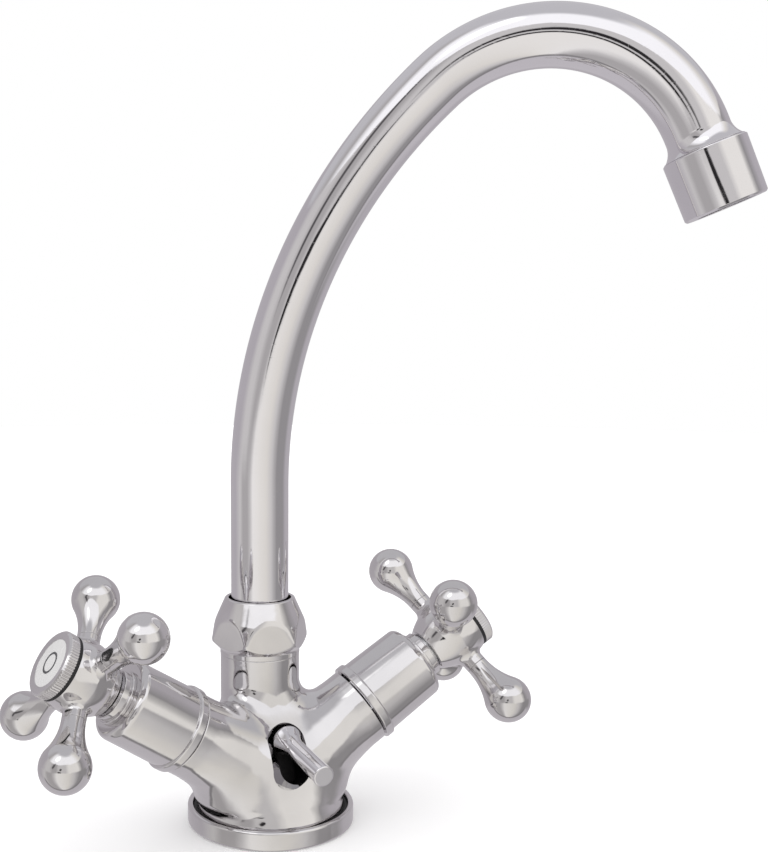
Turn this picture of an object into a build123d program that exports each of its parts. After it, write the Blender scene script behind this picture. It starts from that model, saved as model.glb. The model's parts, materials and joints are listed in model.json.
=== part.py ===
from build123d import *
from math import asin, cos, hypot, pi, radians, sin, sqrt
import os

# Frame: millimetres, +Z up, -Y to the front lever, +X to the right.
# The origin is the centre of the round foot, on the basin.

# Clearances and gaps shared by the fits
RUNNING_GAP = 0.05
THREAD_GAP = 0.05
BRAZE_GAP = 0.05
SEAL_GAP = 0.08
FACE_GAP = 0.3
HEX_GAP = 0.25

# Foot: flange, gasket and the black ring in the groove
FLANGE_H = 6.0
FLANGE_GROOVE = 1.7
FLANGE_LIP = 1.7
FLANGE_SHELF = 3.6
FLANGE_EDGE = 0.9
GASKET_T = 1.2
GASKET_WIDTH = 4.6
LEDGE_H = 3.5
FLANGE_SEAL_H = 1.2

# Body casting
SKIRT_R = 22.6
SKIRT_H = 4.5
SHOULDER_R = 15.0
SHOULDER_H = 12.5
SKIRT_EDGE = 0.8
SPOUT_SETBACK = 8.0
NECK_STEP = 0.8
NECK_TOP = 51.8
SPIGOT_WALL = 1.7
SPIGOT_H = 8.2
NECK_BORE_DEPTH = 14.8
CHAMBER_R = 6.5
CHAMBER_DEPTH = 10.0
CROSS_PORT_R = 3.0
NECK_FILLET = 4.0
SKIRT_FILLET = 3.0

# Valve arms of the body
ARM_TILT = 33.2
ARM_SWEEP = 4.5
ARM_BASE_Z = 13.5
ARM_LENGTH = 36.5
ARM_TAPER = 4.8
ARM_LAND = 6.5
ARM_WALL = 2.3
VALVE_BORE_DEPTH = 14.0
AXIAL_PORT_R = 4.0
AXIAL_PORT_DEPTH = 9.5

# Connections under the foot: M10x1 hoses, M8 stud, pull rod of the waste
INLET_X = 13.3
INLET_Y = -1.0
INLET_THREAD_R = 4.5
INLET_DEPTH = 10.0
INLET_PORT_R = 3.5
STUD_Y = 12.0
STUD_THREAD_R = 3.4
STUD_DEPTH = 9.0
PULL_ROD_R = 3.0

# Front lever of the pop-up waste, in its slot
SLOT_Y = -13.5
SLOT_Z = 25.0
SLOT_TILT = 26.8
SLOT_WIDTH = 9.8
SLOT_LENGTH = 18.8
SLOT_WALL = 2.5
SLOT_CHAMFER = 0.8
CAVITY_TOP = 34.2
CAVITY_BACK = -1.0
CAVITY_FLOOR = 14.5
PIVOT_Y = -4.5
PIVOT_Z = 29.9
PIN_R = 1.25
PIN_SEAT = 2.5
LEVER_DROOP = 6.9
LEVER_LENGTH = 32.4
LEVER_ROD_R = 3.2
LEVER_SHANK_R = 2.6
LEVER_NECK_R = 2.9
LEVER_NECK_AT = 14.0
LEVER_FLARE_AT = 7.2
LEVER_FLARE_LIP = 0.8
LEVER_EDGE = 0.5
EYE_HALF_WIDTH = 3.0
HOOK_HOLE_R = 1.2
HOOK_HOLE_AT = 4.6

# Valve inside each arm
SEAT_SEAL_T = 1.5
SEAT_SEAL_WIDTH = 2.4
DISC_R = 7.8
DISC_T = 3.0
DISC_GAP = 0.05
DISC_WINDOW_R = 2.2
DISC_WINDOW_OFFSET = 3.6
ANNULUS = 1.0
BARREL_WALL = 1.35
DISC_CLEARANCE = 0.15
BARREL_LENGTH = 6.4
WINDOW_WIDTH = 7.0
WINDOW_HEIGHT = 2.6
TANG_WIDTH = 3.0
TANG_LENGTH = 9.0
TANG_DEPTH = 1.4
SPINDLE_SHOULDER = 0.9
SPINDLE_SKIRT_LENGTH = 13.0
SPINDLE_R = 4.6
BONNET_HEX_T = 3.0
BONNET_WALL = 1.3
BONNET_NOSE_WALL = 2.15
O_RING_SECTION_R = 0.7
O_RING_PITCH = 4.0
O_RING_FROM_END = 14.2
CIRCLIP_T = 0.8
CIRCLIP_PROUD = 1.4
CIRCLIP_DEPTH = 0.7
SPLINE_STEP = 0.6
SPLINE_TOOTH = 0.35
SPLINE_TEETH = 20
SPLINE_LENGTH = 8.2

# Chrome sleeve and the gland ring that clamps it
SLEEVE_GAP = 0.5
SLEEVE_LENGTH = 23.5
SLEEVE_TAPER = 0.4
SLEEVE_WALL = 0.9
SLEEVE_LIP = 0.8
SLEEVE_LIP_LENGTH = 2.9
SLEEVE_NOSE_ROUND = 2.2
SLEEVE_NOSE_WALL = 1.6
LOCK_RING_WALL = 1.65
LOCK_RING_T = 1.3
LOCK_COLLAR_WALL = 0.85
LOCK_COLLAR_LENGTH = 2.1
BONNET_PROUD = 0.3

# Cross handle
HANDLE_TURN = 40.35
HUB_GAP = 0.8
HUB_LENGTH = 15.9
HUB_BACK_WALL = 1.1
HUB_WAIST_R = 9.6
HUB_WAIST_AT = 4.0
HUB_R = 11.0
HUB_FRONT_R = 9.95
CROSS_AT = 9.0
BOSS_R = 3.5
BOSS_FILLET = 1.6
BOSS_LAND = 0.9
BOSS_HEIGHT = 3.0
ARM_SPIGOT_STEP = 0.9
ARM_SPIGOT_LENGTH = 7.5
BALL_R = 7.35
BALL_REACH = 14.5
ARM_NECK_LAND = 0.5
HANDLE_ARMS = 4
SCREW_R = 2.0
SCREW_HEAD_R = 3.8
SCREW_HEAD_T = 2.8
SCREW_SLOT = 0.9
SCREW_GRIP = 1.3
SCREW_LENGTH = 8.5
SCREW_HEAD_GAP = 1.2
CAP_SOCKET_WALL = 2.35
CAP_SOCKET_DEPTH = 3.1

# Index cap
CAP_SEAL_T = 0.6
CAP_SEAL_INSET = 0.15
CAP_OVERHANG = 0.15
CAP_H = 3.7
CAP_CHAMFER = 0.8
CAP_BEVEL = 0.3
CAP_SPIGOT_WALL = 1.5
CAP_SPIGOT_LENGTH = 3.3
KNURL_DEPTH = 0.3
KNURL_TEETH = 72
INDEX_RIM = 2.8
INDEX_T = 0.9
INDEX_SUNK = 0.2
INDEX_DOME = 0.15

# Spout nut
NUT_H = 17.8
NUT_FOOT_STEP = 0.1
NUT_WALL = 1.9
NUT_SWELL = 4.0
NUT_SWELL_AT = 4.7
NUT_FOOT_H = 1.6
NUT_TURN = 19.5
NUT_SHOULDER = 2.7
NUT_SHOULDER_AT = 10.2
NUT_LIP_WIDTH = 1.1
NUT_LIP = 0.7
NUT_MOUTH_GAP = 0.8

# Spout foot: bush, glide rings and seals
BUSH_CLEARANCE = 0.06
BUSH_WALL = 0.79
BUSH_LENGTH = 25.5
BUSH_SEAT = 0.6
BUSH_COLLAR_INSET = 0.4
BUSH_COLLAR_T = 1.9
GLIDE_LOWER_T = 0.6
GLIDE_UPPER_T = 1.45
SPOUT_SEAT_DEPTH = 9.5
BUSH_O_RING_R = 0.75
BUSH_O_RING_AT = 5.0
BUSH_O_RING_PITCH = 6.0

# Swan-neck spout
SPOUT_TURN = -37.0
TUBE_R = 9.0
TUBE_WALL = 1.0
RISER_TOP = 105.2
SWEEP_R = 160.0
SWEEP_ANGLE = 48.0
CROWN_R = 45.5
CROWN_ANGLE = 109.5
FLARE_LENGTH = 5.3
FLARE_SWELL = 2.3
TIP_THREAD_WALL = 2.0
TIP_THREAD_LENGTH = 6.0

# Aerator
AERATOR_LENGTH = 17.2
AERATOR_STEP = 0.5
AERATOR_TAPER = 0.45
AERATOR_EDGE = 0.5
AERATOR_WALL = 1.5
AERATOR_LIP = 1.4
AERATOR_LIP_T = 0.9
AERATOR_SEAL_T = 1.2
AERATOR_SEAL_WIDTH = 1.9
INSERT_HOLE_R = 0.75
INSERT_PITCH = 2.3
INSERT_RINGS = 3

# Stations along a valve axis, worked out from the values above
SEAT_S = ARM_LENGTH - VALVE_BORE_DEPTH
FIXED_DISC_S = SEAT_S + SEAT_SEAL_T
MOVING_DISC_S = FIXED_DISC_S + DISC_T + DISC_GAP
SPINDLE_S = MOVING_DISC_S + DISC_T + DISC_GAP
SPINDLE_SKIRT_END = SPINDLE_S + SPINDLE_SKIRT_LENGTH
SLEEVE_S = ARM_LENGTH + SLEEVE_GAP
SLEEVE_END = SLEEVE_S + SLEEVE_LENGTH
LOCK_RING_END = SLEEVE_END + LOCK_RING_T + LOCK_COLLAR_LENGTH
BONNET_END = LOCK_RING_END + BONNET_PROUD
CIRCLIP_S = BONNET_END + 0.25 * HUB_GAP
HUB_S = BONNET_END + HUB_GAP
HUB_END = HUB_S + HUB_LENGTH
CROSS_S = HUB_S + CROSS_AT
SPLINE_END = HUB_S + SPLINE_LENGTH
SCREW_SEAT_S = SPLINE_END + SCREW_GRIP
CAP_SOCKET_S = HUB_END - CAP_SOCKET_DEPTH
CAP_S = HUB_END + CAP_SEAL_T
CAP_END = CAP_S + CAP_H

# Radii of the valve, from the disc outwards to the arm and the sleeve
BARREL_BORE_R = DISC_R + DISC_CLEARANCE
BARREL_R = BARREL_BORE_R + BARREL_WALL
VALVE_BORE_R = BARREL_R + ANNULUS
BONNET_THREAD_R = VALVE_BORE_R - THREAD_GAP
ARM_END_R = VALVE_BORE_R + ARM_WALL
ARM_ROOT_R = ARM_END_R + ARM_TAPER
SLEEVE_FRONT_R = ARM_END_R - SLEEVE_TAPER
SLEEVE_LIP_R = ARM_END_R + SLEEVE_LIP
SPINDLE_SKIRT_R = DISC_R - SPINDLE_SHOULDER
BONNET_SKIRT_BORE_R = SPINDLE_SKIRT_R + RUNNING_GAP
BONNET_BARREL_R = SPINDLE_SKIRT_R + BONNET_WALL
BONNET_BORE_R = SPINDLE_R + RUNNING_GAP
BONNET_NOSE_R = BONNET_BORE_R + BONNET_NOSE_WALL
LOCK_RING_R = BONNET_NOSE_R + THREAD_GAP + LOCK_RING_WALL
LOCK_COLLAR_R = BONNET_NOSE_R + THREAD_GAP + LOCK_COLLAR_WALL
CIRCLIP_R = SPINDLE_R + CIRCLIP_PROUD
SPLINE_R = SPINDLE_R - SPLINE_STEP

# Radii of the spout's foot, from the tube outwards to the neck and the nut
BUSH_BORE_R = TUBE_R - TUBE_WALL - BUSH_SEAT
BUSH_R = TUBE_R + BRAZE_GAP + BUSH_WALL
NECK_BORE_R = BUSH_R + BUSH_CLEARANCE
SPIGOT_R = NECK_BORE_R + SPIGOT_WALL
NECK_R = SPIGOT_R + NECK_STEP
BUSH_COLLAR_R = SPIGOT_R - BUSH_COLLAR_INSET
NUT_ACROSS_FLATS = 2 * (SPIGOT_R + NUT_WALL)
NUT_FOOT_R = NECK_R + NUT_FOOT_STEP
NUT_R = SPIGOT_R + NUT_SWELL
NUT_SHOULDER_R = SPIGOT_R + NUT_SHOULDER
NUT_MOUTH_R = TUBE_R + NUT_MOUTH_GAP
NUT_TOP_R = NUT_MOUTH_R + NUT_LIP_WIDTH

# Radii of the handle
HUB_BACK_R = CIRCLIP_R + FACE_GAP + HUB_BACK_WALL
SEAM_R = HUB_R + BOSS_HEIGHT
ARM_SPIGOT_R = BOSS_R - ARM_SPIGOT_STEP
ARM_NECK_AT = SEAM_R + ARM_NECK_LAND
BALL_AT = SEAM_R + BALL_REACH
SCREW_RECESS_R = SCREW_HEAD_R + SCREW_HEAD_GAP
CAP_SOCKET_R = HUB_FRONT_R - CAP_SOCKET_WALL
CAP_SEAL_R = HUB_FRONT_R - CAP_SEAL_INSET
CAP_R = HUB_FRONT_R + CAP_OVERHANG
INDEX_R = CAP_R - INDEX_RIM

# Radii of the outlet and of the foot
FLARE_R = TUBE_R + FLARE_SWELL
TIP_THREAD_R = TUBE_R - TUBE_WALL + TIP_THREAD_WALL
AERATOR_TOP_R = FLARE_R + AERATOR_STEP
AERATOR_FOOT_R = AERATOR_TOP_R - AERATOR_TAPER
FLANGE_R = SKIRT_R + FLANGE_GROOVE + FLANGE_LIP
FLANGE_BORE_R = SKIRT_R - FLANGE_SHELF

# Heights of the spout's foot
SPIGOT_TOP = NECK_TOP + SPIGOT_H
NECK_BORE_FLOOR = NECK_TOP - NECK_BORE_DEPTH
COLLAR_Z = SPIGOT_TOP + GLIDE_LOWER_T
BUSH_TOP = COLLAR_Z + BUSH_COLLAR_T + 0.5 * GLIDE_UPPER_T
BUSH_FOOT = BUSH_TOP - BUSH_LENGTH
SPOUT_FOOT = BUSH_TOP - SPOUT_SEAT_DEPTH
NUT_CEILING = COLLAR_Z + BUSH_COLLAR_T + DISC_GAP + GLIDE_UPPER_T


def rod(radius, low, high):
    """Cylinder about Z between two heights."""
    middle = Align.CENTER
    return Pos(0, 0, low) * Cylinder(radius, high - low, align=(middle, middle, Align.MIN))


def ring(outer, inner, low, high):
    """Washer about Z between two heights."""
    return rod(outer, low, high) - rod(inner, low, high)


def turned(*corners):
    """Solid turned about Z from (radius, height) corners; a third number rounds that corner."""
    face = make_face(Polyline(*[corner[:2] for corner in corners], close=True)).face()
    for radius, height, rounding in [corner for corner in corners if len(corner) == 3]:
        vertex = face.vertices().sort_by_distance(Vector(radius, height, 0))[0]
        face = face.fillet_2d(rounding, [vertex])
    return revolve(Plane.XZ * face, Axis.Z)


def turned_outline(*curves):
    """Solid turned about Z from joined curves, each in (radius, height)."""
    return revolve(Plane.XZ * make_face(Curve() + list(curves)), Axis.Z)


def toothed(tip, root, teeth, low, high):
    """Prism about Z whose outline steps between a tip and a root radius."""
    step = pi / teeth
    radii = [tip, root] * teeth
    outline = [(r * cos(i * step), r * sin(i * step)) for i, r in enumerate(radii)]
    return Pos(0, 0, low) * extrude(make_face(Polyline(*outline, close=True)), high - low)


def o_ring(middle_r, section_r, height):
    """Ring of round section about Z."""
    return Pos(0, 0, height) * Torus(middle_r, section_r)


def between(radius, start, end):
    """Cylinder from one point to another."""
    start = Vector(*start)
    run = Vector(*end) - start
    return Plane(origin=start, z_dir=run) * rod(radius, 0, run.length)


def valve_plane(side):
    """Frame of one valve: Z out along its arm, X towards the handle arm that points up and back."""
    tilt = radians(ARM_TILT)
    sweep = radians(ARM_SWEEP)
    outward = Vector(side * cos(tilt) * cos(sweep), -cos(tilt) * sin(sweep), sin(tilt))
    level = outward.cross(Vector(0, 0, 1)).normalized()
    upward = level.cross(outward)
    turn = radians(-side * HANDLE_TURN)
    across = upward * cos(turn) + level * sin(turn)
    return Plane(origin=(0, 0, ARM_BASE_Z), x_dir=across, z_dir=outward)


def valve_point(side, distance):
    """Point on a valve's axis, at a distance from the middle of the body."""
    plane = valve_plane(side)
    return plane.origin + plane.z_dir * distance


SPOUT_AXIS = Pos(0, SPOUT_SETBACK, 0)
SPOUT_PLANE = Plane(
    origin=(0, SPOUT_SETBACK, 0),
    x_dir=(cos(radians(SPOUT_TURN)), sin(radians(SPOUT_TURN)), 0),
    z_dir=(sin(radians(SPOUT_TURN)), -cos(radians(SPOUT_TURN)), 0),
)


def base_flange():
    """Dished ring: the body stands on its ledge, the gasket lies in its underside."""
    lip_r = FLANGE_R - FLANGE_LIP
    recess_r = FLANGE_BORE_R + GASKET_WIDTH + FACE_GAP
    return turned(
        (recess_r, 0),
        (FLANGE_R, 0, FLANGE_EDGE),
        (FLANGE_R, FLANGE_H, FLANGE_EDGE),
        (lip_r, FLANGE_H, 0.4 * FLANGE_LIP),
        (lip_r, LEDGE_H),
        (FLANGE_BORE_R, LEDGE_H),
        (FLANGE_BORE_R, GASKET_T),
        (recess_r, GASKET_T),
    )


def base_gasket():
    """Rubber ring between the flange and the basin."""
    return ring(FLANGE_BORE_R + GASKET_WIDTH, FLANGE_BORE_R, 0, GASKET_T)


def flange_seal():
    """Black ring that fills the groove between the body and the flange's lip."""
    outer = FLANGE_R - FLANGE_LIP - SEAL_GAP
    return ring(outer, SKIRT_R + SEAL_GAP, LEDGE_H, LEDGE_H + FLANGE_SEAL_H)


def body_shell():
    """Outside of the casting: skirt, two tapered arms and the neck, blended into the arms."""
    skirt = turned(
        (0, LEDGE_H),
        (SKIRT_R, LEDGE_H, SKIRT_EDGE),
        (SKIRT_R, LEDGE_H + SKIRT_H, SKIRT_FILLET),
        (SHOULDER_R, LEDGE_H + SHOULDER_H),
        (0, LEDGE_H + SHOULDER_H),
    )
    arm = turned(
        (0, 0),
        (ARM_ROOT_R, 0),
        (ARM_END_R, ARM_LENGTH - ARM_LAND),
        (ARM_END_R, ARM_LENGTH),
        (0, ARM_LENGTH),
    )
    block = 4 * FLANGE_R
    above_ledge = Pos(0, 0, LEDGE_H + block / 2) * Box(block, block, block)
    shell = valve_plane(1) * arm & above_ledge
    shell += valve_plane(-1) * arm & above_ledge
    shell += SPOUT_AXIS * rod(NECK_R, LEDGE_H + SKIRT_EDGE, NECK_TOP)
    shell += skirt
    shell = fillet([edge for edge in shell.edges() if is_neck_root(edge)], NECK_FILLET)
    return shell + SPOUT_AXIS * rod(SPIGOT_R, NECK_TOP, SPIGOT_TOP)


def is_neck_root(edge):
    """True for a curved edge where the neck rises out of the arms."""
    if edge.geom_type == GeomType.LINE:
        return False
    points = [edge @ (i / 10) for i in range(1, 10, 2)]
    on_neck = all(abs(hypot(point.X, point.Y - SPOUT_SETBACK) - NECK_R) < 0.05 for point in points)
    return on_neck and all(point.Z < NECK_TOP - 1 for point in points)


def lever_cavity():
    """Slot through the front wall, the space behind it and the pull rod's passage."""
    tilt = radians(SLOT_TILT)
    outward = Vector(0, -cos(tilt), sin(tilt))
    middle = Vector(0, SLOT_Y, SLOT_Z)
    slot_plane = Plane(origin=middle, x_dir=(0, sin(tilt), cos(tilt)), z_dir=outward)
    outline = SlotOverall(SLOT_LENGTH, SLOT_WIDTH)
    slot = slot_plane * Pos(0, 0, -SLOT_WALL) * extrude(outline, 3 * SLOT_WALL)
    along = Vector(0, sin(tilt), cos(tilt)) * (SLOT_LENGTH / 2)
    inner = middle - outward * (SLOT_WALL - SLOT_CHAMFER)
    low = inner - along
    high = inner + along
    profile = Polyline(
        (low.Y, low.Z),
        (high.Y, high.Z),
        (high.Y, CAVITY_TOP),
        (CAVITY_BACK, CAVITY_TOP),
        (CAVITY_BACK, CAVITY_FLOOR),
        (low.Y, CAVITY_FLOOR),
        close=True,
    )
    pocket = extrude(Plane.YZ * make_face(profile), SLOT_WIDTH / 2, both=True)
    passage = Pos(0, pull_rod_y(), 0) * rod(PULL_ROD_R, 0, CAVITY_FLOOR + 1)
    pin_half = SLOT_WIDTH / 2 + PIN_SEAT
    pin_hole = between(PIN_R + BRAZE_GAP / 5, (-pin_half, PIVOT_Y, PIVOT_Z), (pin_half, PIVOT_Y, PIVOT_Z))
    return [slot, pocket, passage, pin_hole]


def pull_rod_y():
    """Where the pull rod hangs from the hole in the lever's shank."""
    return PIVOT_Y - HOOK_HOLE_AT * cos(radians(LEVER_DROOP))


def body_casting():
    """Brass casting with its water ways, valve bores and threaded sockets."""
    body = body_shell()
    body -= SPOUT_AXIS * rod(NECK_BORE_R, NECK_BORE_FLOOR, SPIGOT_TOP)
    body -= SPOUT_AXIS * rod(CHAMBER_R, NECK_BORE_FLOOR - CHAMBER_DEPTH, NECK_BORE_FLOOR)
    body -= Pos(0, STUD_Y, 0) * rod(STUD_THREAD_R, 0, LEDGE_H + STUD_DEPTH)
    chamber = (0, SPOUT_SETBACK, NECK_BORE_FLOOR - CROSS_PORT_R - 1.5)
    for side in (1, -1):
        valve = valve_plane(side)
        body -= valve * rod(VALVE_BORE_R, SEAT_S, ARM_LENGTH)
        body -= valve * rod(AXIAL_PORT_R, SEAT_S - AXIAL_PORT_DEPTH, SEAT_S)
        meeting = valve_point(side, INLET_X / (cos(radians(ARM_TILT)) * cos(radians(ARM_SWEEP))))
        inlet = Pos(side * INLET_X, INLET_Y, 0)
        body -= inlet * rod(INLET_THREAD_R, 0, LEDGE_H + INLET_DEPTH)
        body -= inlet * rod(INLET_PORT_R, 0, meeting.Z)
        port_start = valve_point(side, SEAT_S + INLET_PORT_R)
        body -= between(CROSS_PORT_R, port_start, chamber)
    for cut in lever_cavity():
        body -= cut
    return body


def lever_pin():
    """Pin that the lever tips on, pressed into the walls of the cavity."""
    half = SLOT_WIDTH / 2 + PIN_SEAT
    return between(PIN_R, (-half, PIVOT_Y, PIVOT_Z), (half, PIVOT_Y, PIVOT_Z))


def waste_lever():
    """Flared rod: eye on the pin, shank with the pull rod's hole, trumpet and round end."""
    flare_r = SLOT_WIDTH / 2 - FACE_GAP
    flare_end = LEVER_FLARE_AT + LEVER_FLARE_LIP
    half_way = (flare_end + LEVER_NECK_AT) / 2
    half_way_r = LEVER_NECK_R + 0.28 * (flare_r - LEVER_NECK_R)
    outline = [
        Line((0, 0), (LEVER_SHANK_R, 0)),
        Line((LEVER_SHANK_R, 0), (LEVER_SHANK_R, LEVER_FLARE_AT - LEVER_FLARE_LIP)),
        Line((LEVER_SHANK_R, LEVER_FLARE_AT - LEVER_FLARE_LIP), (flare_r, LEVER_FLARE_AT)),
        Line((flare_r, LEVER_FLARE_AT), (flare_r, flare_end)),
        ThreePointArc((flare_r, flare_end), (half_way_r, half_way), (LEVER_NECK_R, LEVER_NECK_AT)),
        Line((LEVER_NECK_R, LEVER_NECK_AT), (LEVER_ROD_R, LEVER_LENGTH - LEVER_EDGE)),
        Line((LEVER_ROD_R, LEVER_LENGTH - LEVER_EDGE), (LEVER_ROD_R - LEVER_EDGE, LEVER_LENGTH)),
        Line((LEVER_ROD_R - LEVER_EDGE, LEVER_LENGTH), (0, LEVER_LENGTH)),
        Line((0, LEVER_LENGTH), (0, 0)),
    ]
    droop = radians(LEVER_DROOP)
    frame = Plane(origin=(0, PIVOT_Y, PIVOT_Z), x_dir=(1, 0, 0), z_dir=(0, -cos(droop), -sin(droop)))
    eye = Rot(0, 90, 0) * rod(EYE_HALF_WIDTH, -EYE_HALF_WIDTH, EYE_HALF_WIDTH)
    lever = turned_outline(*outline) + eye
    across = SLOT_WIDTH
    lever -= Rot(0, 90, 0) * rod(PIN_R + RUNNING_GAP, -across, across)
    lever -= Pos(0, 0, HOOK_HOLE_AT) * Rot(0, 90, 0) * rod(HOOK_HOLE_R, -across, across)
    return frame * lever


def seat_seal():
    """Rubber ring that the fixed disc presses on the floor of the bore."""
    return ring(DISC_R, DISC_R - SEAT_SEAL_WIDTH, SEAT_S, FIXED_DISC_S)


def fixed_disc():
    """Ceramic disc with two round water windows."""
    disc = rod(DISC_R, FIXED_DISC_S, FIXED_DISC_S + DISC_T)
    for side in (1, -1):
        disc -= Pos(side * DISC_WINDOW_OFFSET, 0, 0) * rod(DISC_WINDOW_R, FIXED_DISC_S, FIXED_DISC_S + DISC_T)
    return disc


def moving_disc():
    """Ceramic disc with a slot for the spindle's tang and two side scoops."""
    end = MOVING_DISC_S + DISC_T
    disc = rod(DISC_R, MOVING_DISC_S, end)
    slot = (TANG_WIDTH + 2 * RUNNING_GAP, TANG_LENGTH + 2 * RUNNING_GAP, 2 * (TANG_DEPTH + RUNNING_GAP))
    disc -= Pos(0, 0, end) * Box(*slot)
    for side in (1, -1):
        disc -= Pos(0, side * DISC_R, 0) * rod(DISC_WINDOW_R, MOVING_DISC_S, MOVING_DISC_S + DISC_T / 2)
    return disc


def spindle():
    """Stem from the moving disc to the handle, with seal grooves, clip groove and spline."""
    stem = rod(SPINDLE_SKIRT_R, SPINDLE_S, SPINDLE_SKIRT_END)
    stem += rod(SPINDLE_R, SPINDLE_SKIRT_END, HUB_S)
    stem += Pos(0, 0, SPINDLE_S) * Box(TANG_WIDTH, TANG_LENGTH, 2 * TANG_DEPTH)
    stem += toothed(SPLINE_R, SPLINE_R - SPLINE_TOOTH, SPLINE_TEETH, HUB_S, SPLINE_END - FACE_GAP)
    for height in o_ring_heights():
        groove_half = O_RING_SECTION_R + SEAL_GAP
        root = SPINDLE_R - 2 * O_RING_SECTION_R
        stem -= ring(SPINDLE_R + 1, root, height - groove_half, height + groove_half)
    clip_end = CIRCLIP_S + CIRCLIP_T
    clip_root = SPINDLE_R - CIRCLIP_DEPTH - SEAL_GAP
    stem -= ring(SPINDLE_R + 1, clip_root, CIRCLIP_S - SEAL_GAP / 2, clip_end + SEAL_GAP / 2)
    stem -= rod(SCREW_R + THREAD_GAP, SCREW_SEAT_S - SCREW_LENGTH - FACE_GAP, SPLINE_END)
    return stem


def o_ring_heights():
    """Stations of the two stem seals, counted back from the bonnet's end."""
    first = BONNET_END - O_RING_FROM_END
    return [first, first + O_RING_PITCH]


def spindle_o_rings():
    """Two seals in the grooves of the stem."""
    middle_r = SPINDLE_R - O_RING_SECTION_R + RUNNING_GAP / 2
    section_r = O_RING_SECTION_R - RUNNING_GAP / 2
    rings = [o_ring(middle_r, section_r, height) for height in o_ring_heights()]
    return Compound(children=rings)


def circlip():
    """Split ring that holds the stem in the bonnet."""
    clip = ring(CIRCLIP_R, SPINDLE_R - CIRCLIP_DEPTH, CIRCLIP_S, CIRCLIP_S + CIRCLIP_T)
    gap = Box(CIRCLIP_R, CIRCLIP_R / 2, 4 * CIRCLIP_T, align=(Align.MIN, Align.CENTER, Align.CENTER))
    return clip - Pos(0, 0, CIRCLIP_S) * gap


def valve_bonnet():
    """Brass bonnet: windowed barrel, thread, hexagon, stem housing and threaded nose."""
    foot = SEAT_S + FACE_GAP
    barrel_end = SEAT_S + BARREL_LENGTH
    hex_end = ARM_LENGTH + BONNET_HEX_T
    nose = SLEEVE_END - SLEEVE_NOSE_WALL - 1
    bonnet = rod(BARREL_R, foot, barrel_end)
    bonnet += rod(BONNET_THREAD_R, barrel_end, ARM_LENGTH)
    corner_r = SLEEVE_FRONT_R - SLEEVE_WALL - HEX_GAP
    hexagon = extrude(RegularPolygon(corner_r, 6), BONNET_HEX_T)
    bonnet += Pos(0, 0, ARM_LENGTH) * hexagon
    bonnet += rod(BONNET_BARREL_R, hex_end, nose)
    bonnet += rod(BONNET_NOSE_R, nose, BONNET_END)
    bonnet -= rod(BARREL_BORE_R, foot, SPINDLE_S)
    bonnet -= rod(BONNET_SKIRT_BORE_R, SPINDLE_S, SPINDLE_SKIRT_END + DISC_GAP)
    bonnet -= rod(BONNET_BORE_R, SPINDLE_SKIRT_END, BONNET_END)
    window = Box(3 * BARREL_R, WINDOW_WIDTH, WINDOW_HEIGHT, align=(Align.CENTER, Align.CENTER, Align.MIN))
    bonnet -= Pos(0, 0, barrel_end - WINDOW_HEIGHT) * window
    return bonnet


def sleeve():
    """Chrome shroud with a lip ring at the back and a rounded nose."""
    bore_r = SLEEVE_FRONT_R - SLEEVE_WALL
    mouth_r = BONNET_NOSE_R + THREAD_GAP
    lip_end = SLEEVE_S + SLEEVE_LIP_LENGTH
    return turned(
        (bore_r, SLEEVE_S),
        (SLEEVE_LIP_R, SLEEVE_S, 0.5),
        (SLEEVE_LIP_R, lip_end, 0.7),
        (ARM_END_R, lip_end),
        (SLEEVE_FRONT_R, SLEEVE_END, SLEEVE_NOSE_ROUND),
        (mouth_r, SLEEVE_END),
        (mouth_r, SLEEVE_END - SLEEVE_NOSE_WALL),
        (bore_r, SLEEVE_END - SLEEVE_NOSE_WALL),
    )


def lock_ring():
    """Gland ring screwed on the bonnet's nose against the sleeve."""
    bore_r = BONNET_NOSE_R + THREAD_GAP
    step = SLEEVE_END + LOCK_RING_T
    return turned(
        (bore_r, SLEEVE_END),
        (LOCK_RING_R, SLEEVE_END),
        (LOCK_RING_R, step, 0.4),
        (LOCK_COLLAR_R, step),
        (LOCK_COLLAR_R, LOCK_RING_END, 0.3),
        (bore_r, LOCK_RING_END),
    )


def handle_hub():
    """Barrel of the cross handle: four bosses, splined bore, screw recess and cap socket."""
    swell_r = HUB_R - 0.3
    swell_at = HUB_S + HUB_WAIST_AT + 2.4
    shoulder_at = (CROSS_S + HUB_END) / 2
    shoulder_r = HUB_R - 0.25 * (HUB_R - HUB_FRONT_R)
    hub = turned_outline(
        Line((0, HUB_S), (HUB_BACK_R, HUB_S)),
        ThreePointArc((HUB_BACK_R, HUB_S), (HUB_WAIST_R, HUB_S + HUB_WAIST_AT), (HUB_R, CROSS_S)),
        ThreePointArc((HUB_R, CROSS_S), (shoulder_r, shoulder_at), (HUB_FRONT_R, HUB_END)),
        Line((HUB_FRONT_R, HUB_END), (0, HUB_END)),
        Line((0, HUB_END), (0, HUB_S)),
    )
    for spoke in spokes():
        hub += spoke * handle_boss()
    for spoke in spokes():
        hub -= spoke * rod(ARM_SPIGOT_R + THREAD_GAP, SEAM_R - ARM_SPIGOT_LENGTH - FACE_GAP, SEAM_R)
    recess_r = CIRCLIP_R + FACE_GAP
    hub -= rod(recess_r, HUB_S, CIRCLIP_S + CIRCLIP_T + FACE_GAP)
    tip = SPLINE_R + RUNNING_GAP
    hub -= toothed(tip, tip - SPLINE_TOOTH, SPLINE_TEETH, HUB_S, SPLINE_END)
    hub -= rod(SCREW_R + THREAD_GAP, SPLINE_END, SCREW_SEAT_S)
    hub -= rod(SCREW_RECESS_R, SCREW_SEAT_S, CAP_SOCKET_S)
    hub -= rod(CAP_SOCKET_R, CAP_SOCKET_S, HUB_END)
    return hub


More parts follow.
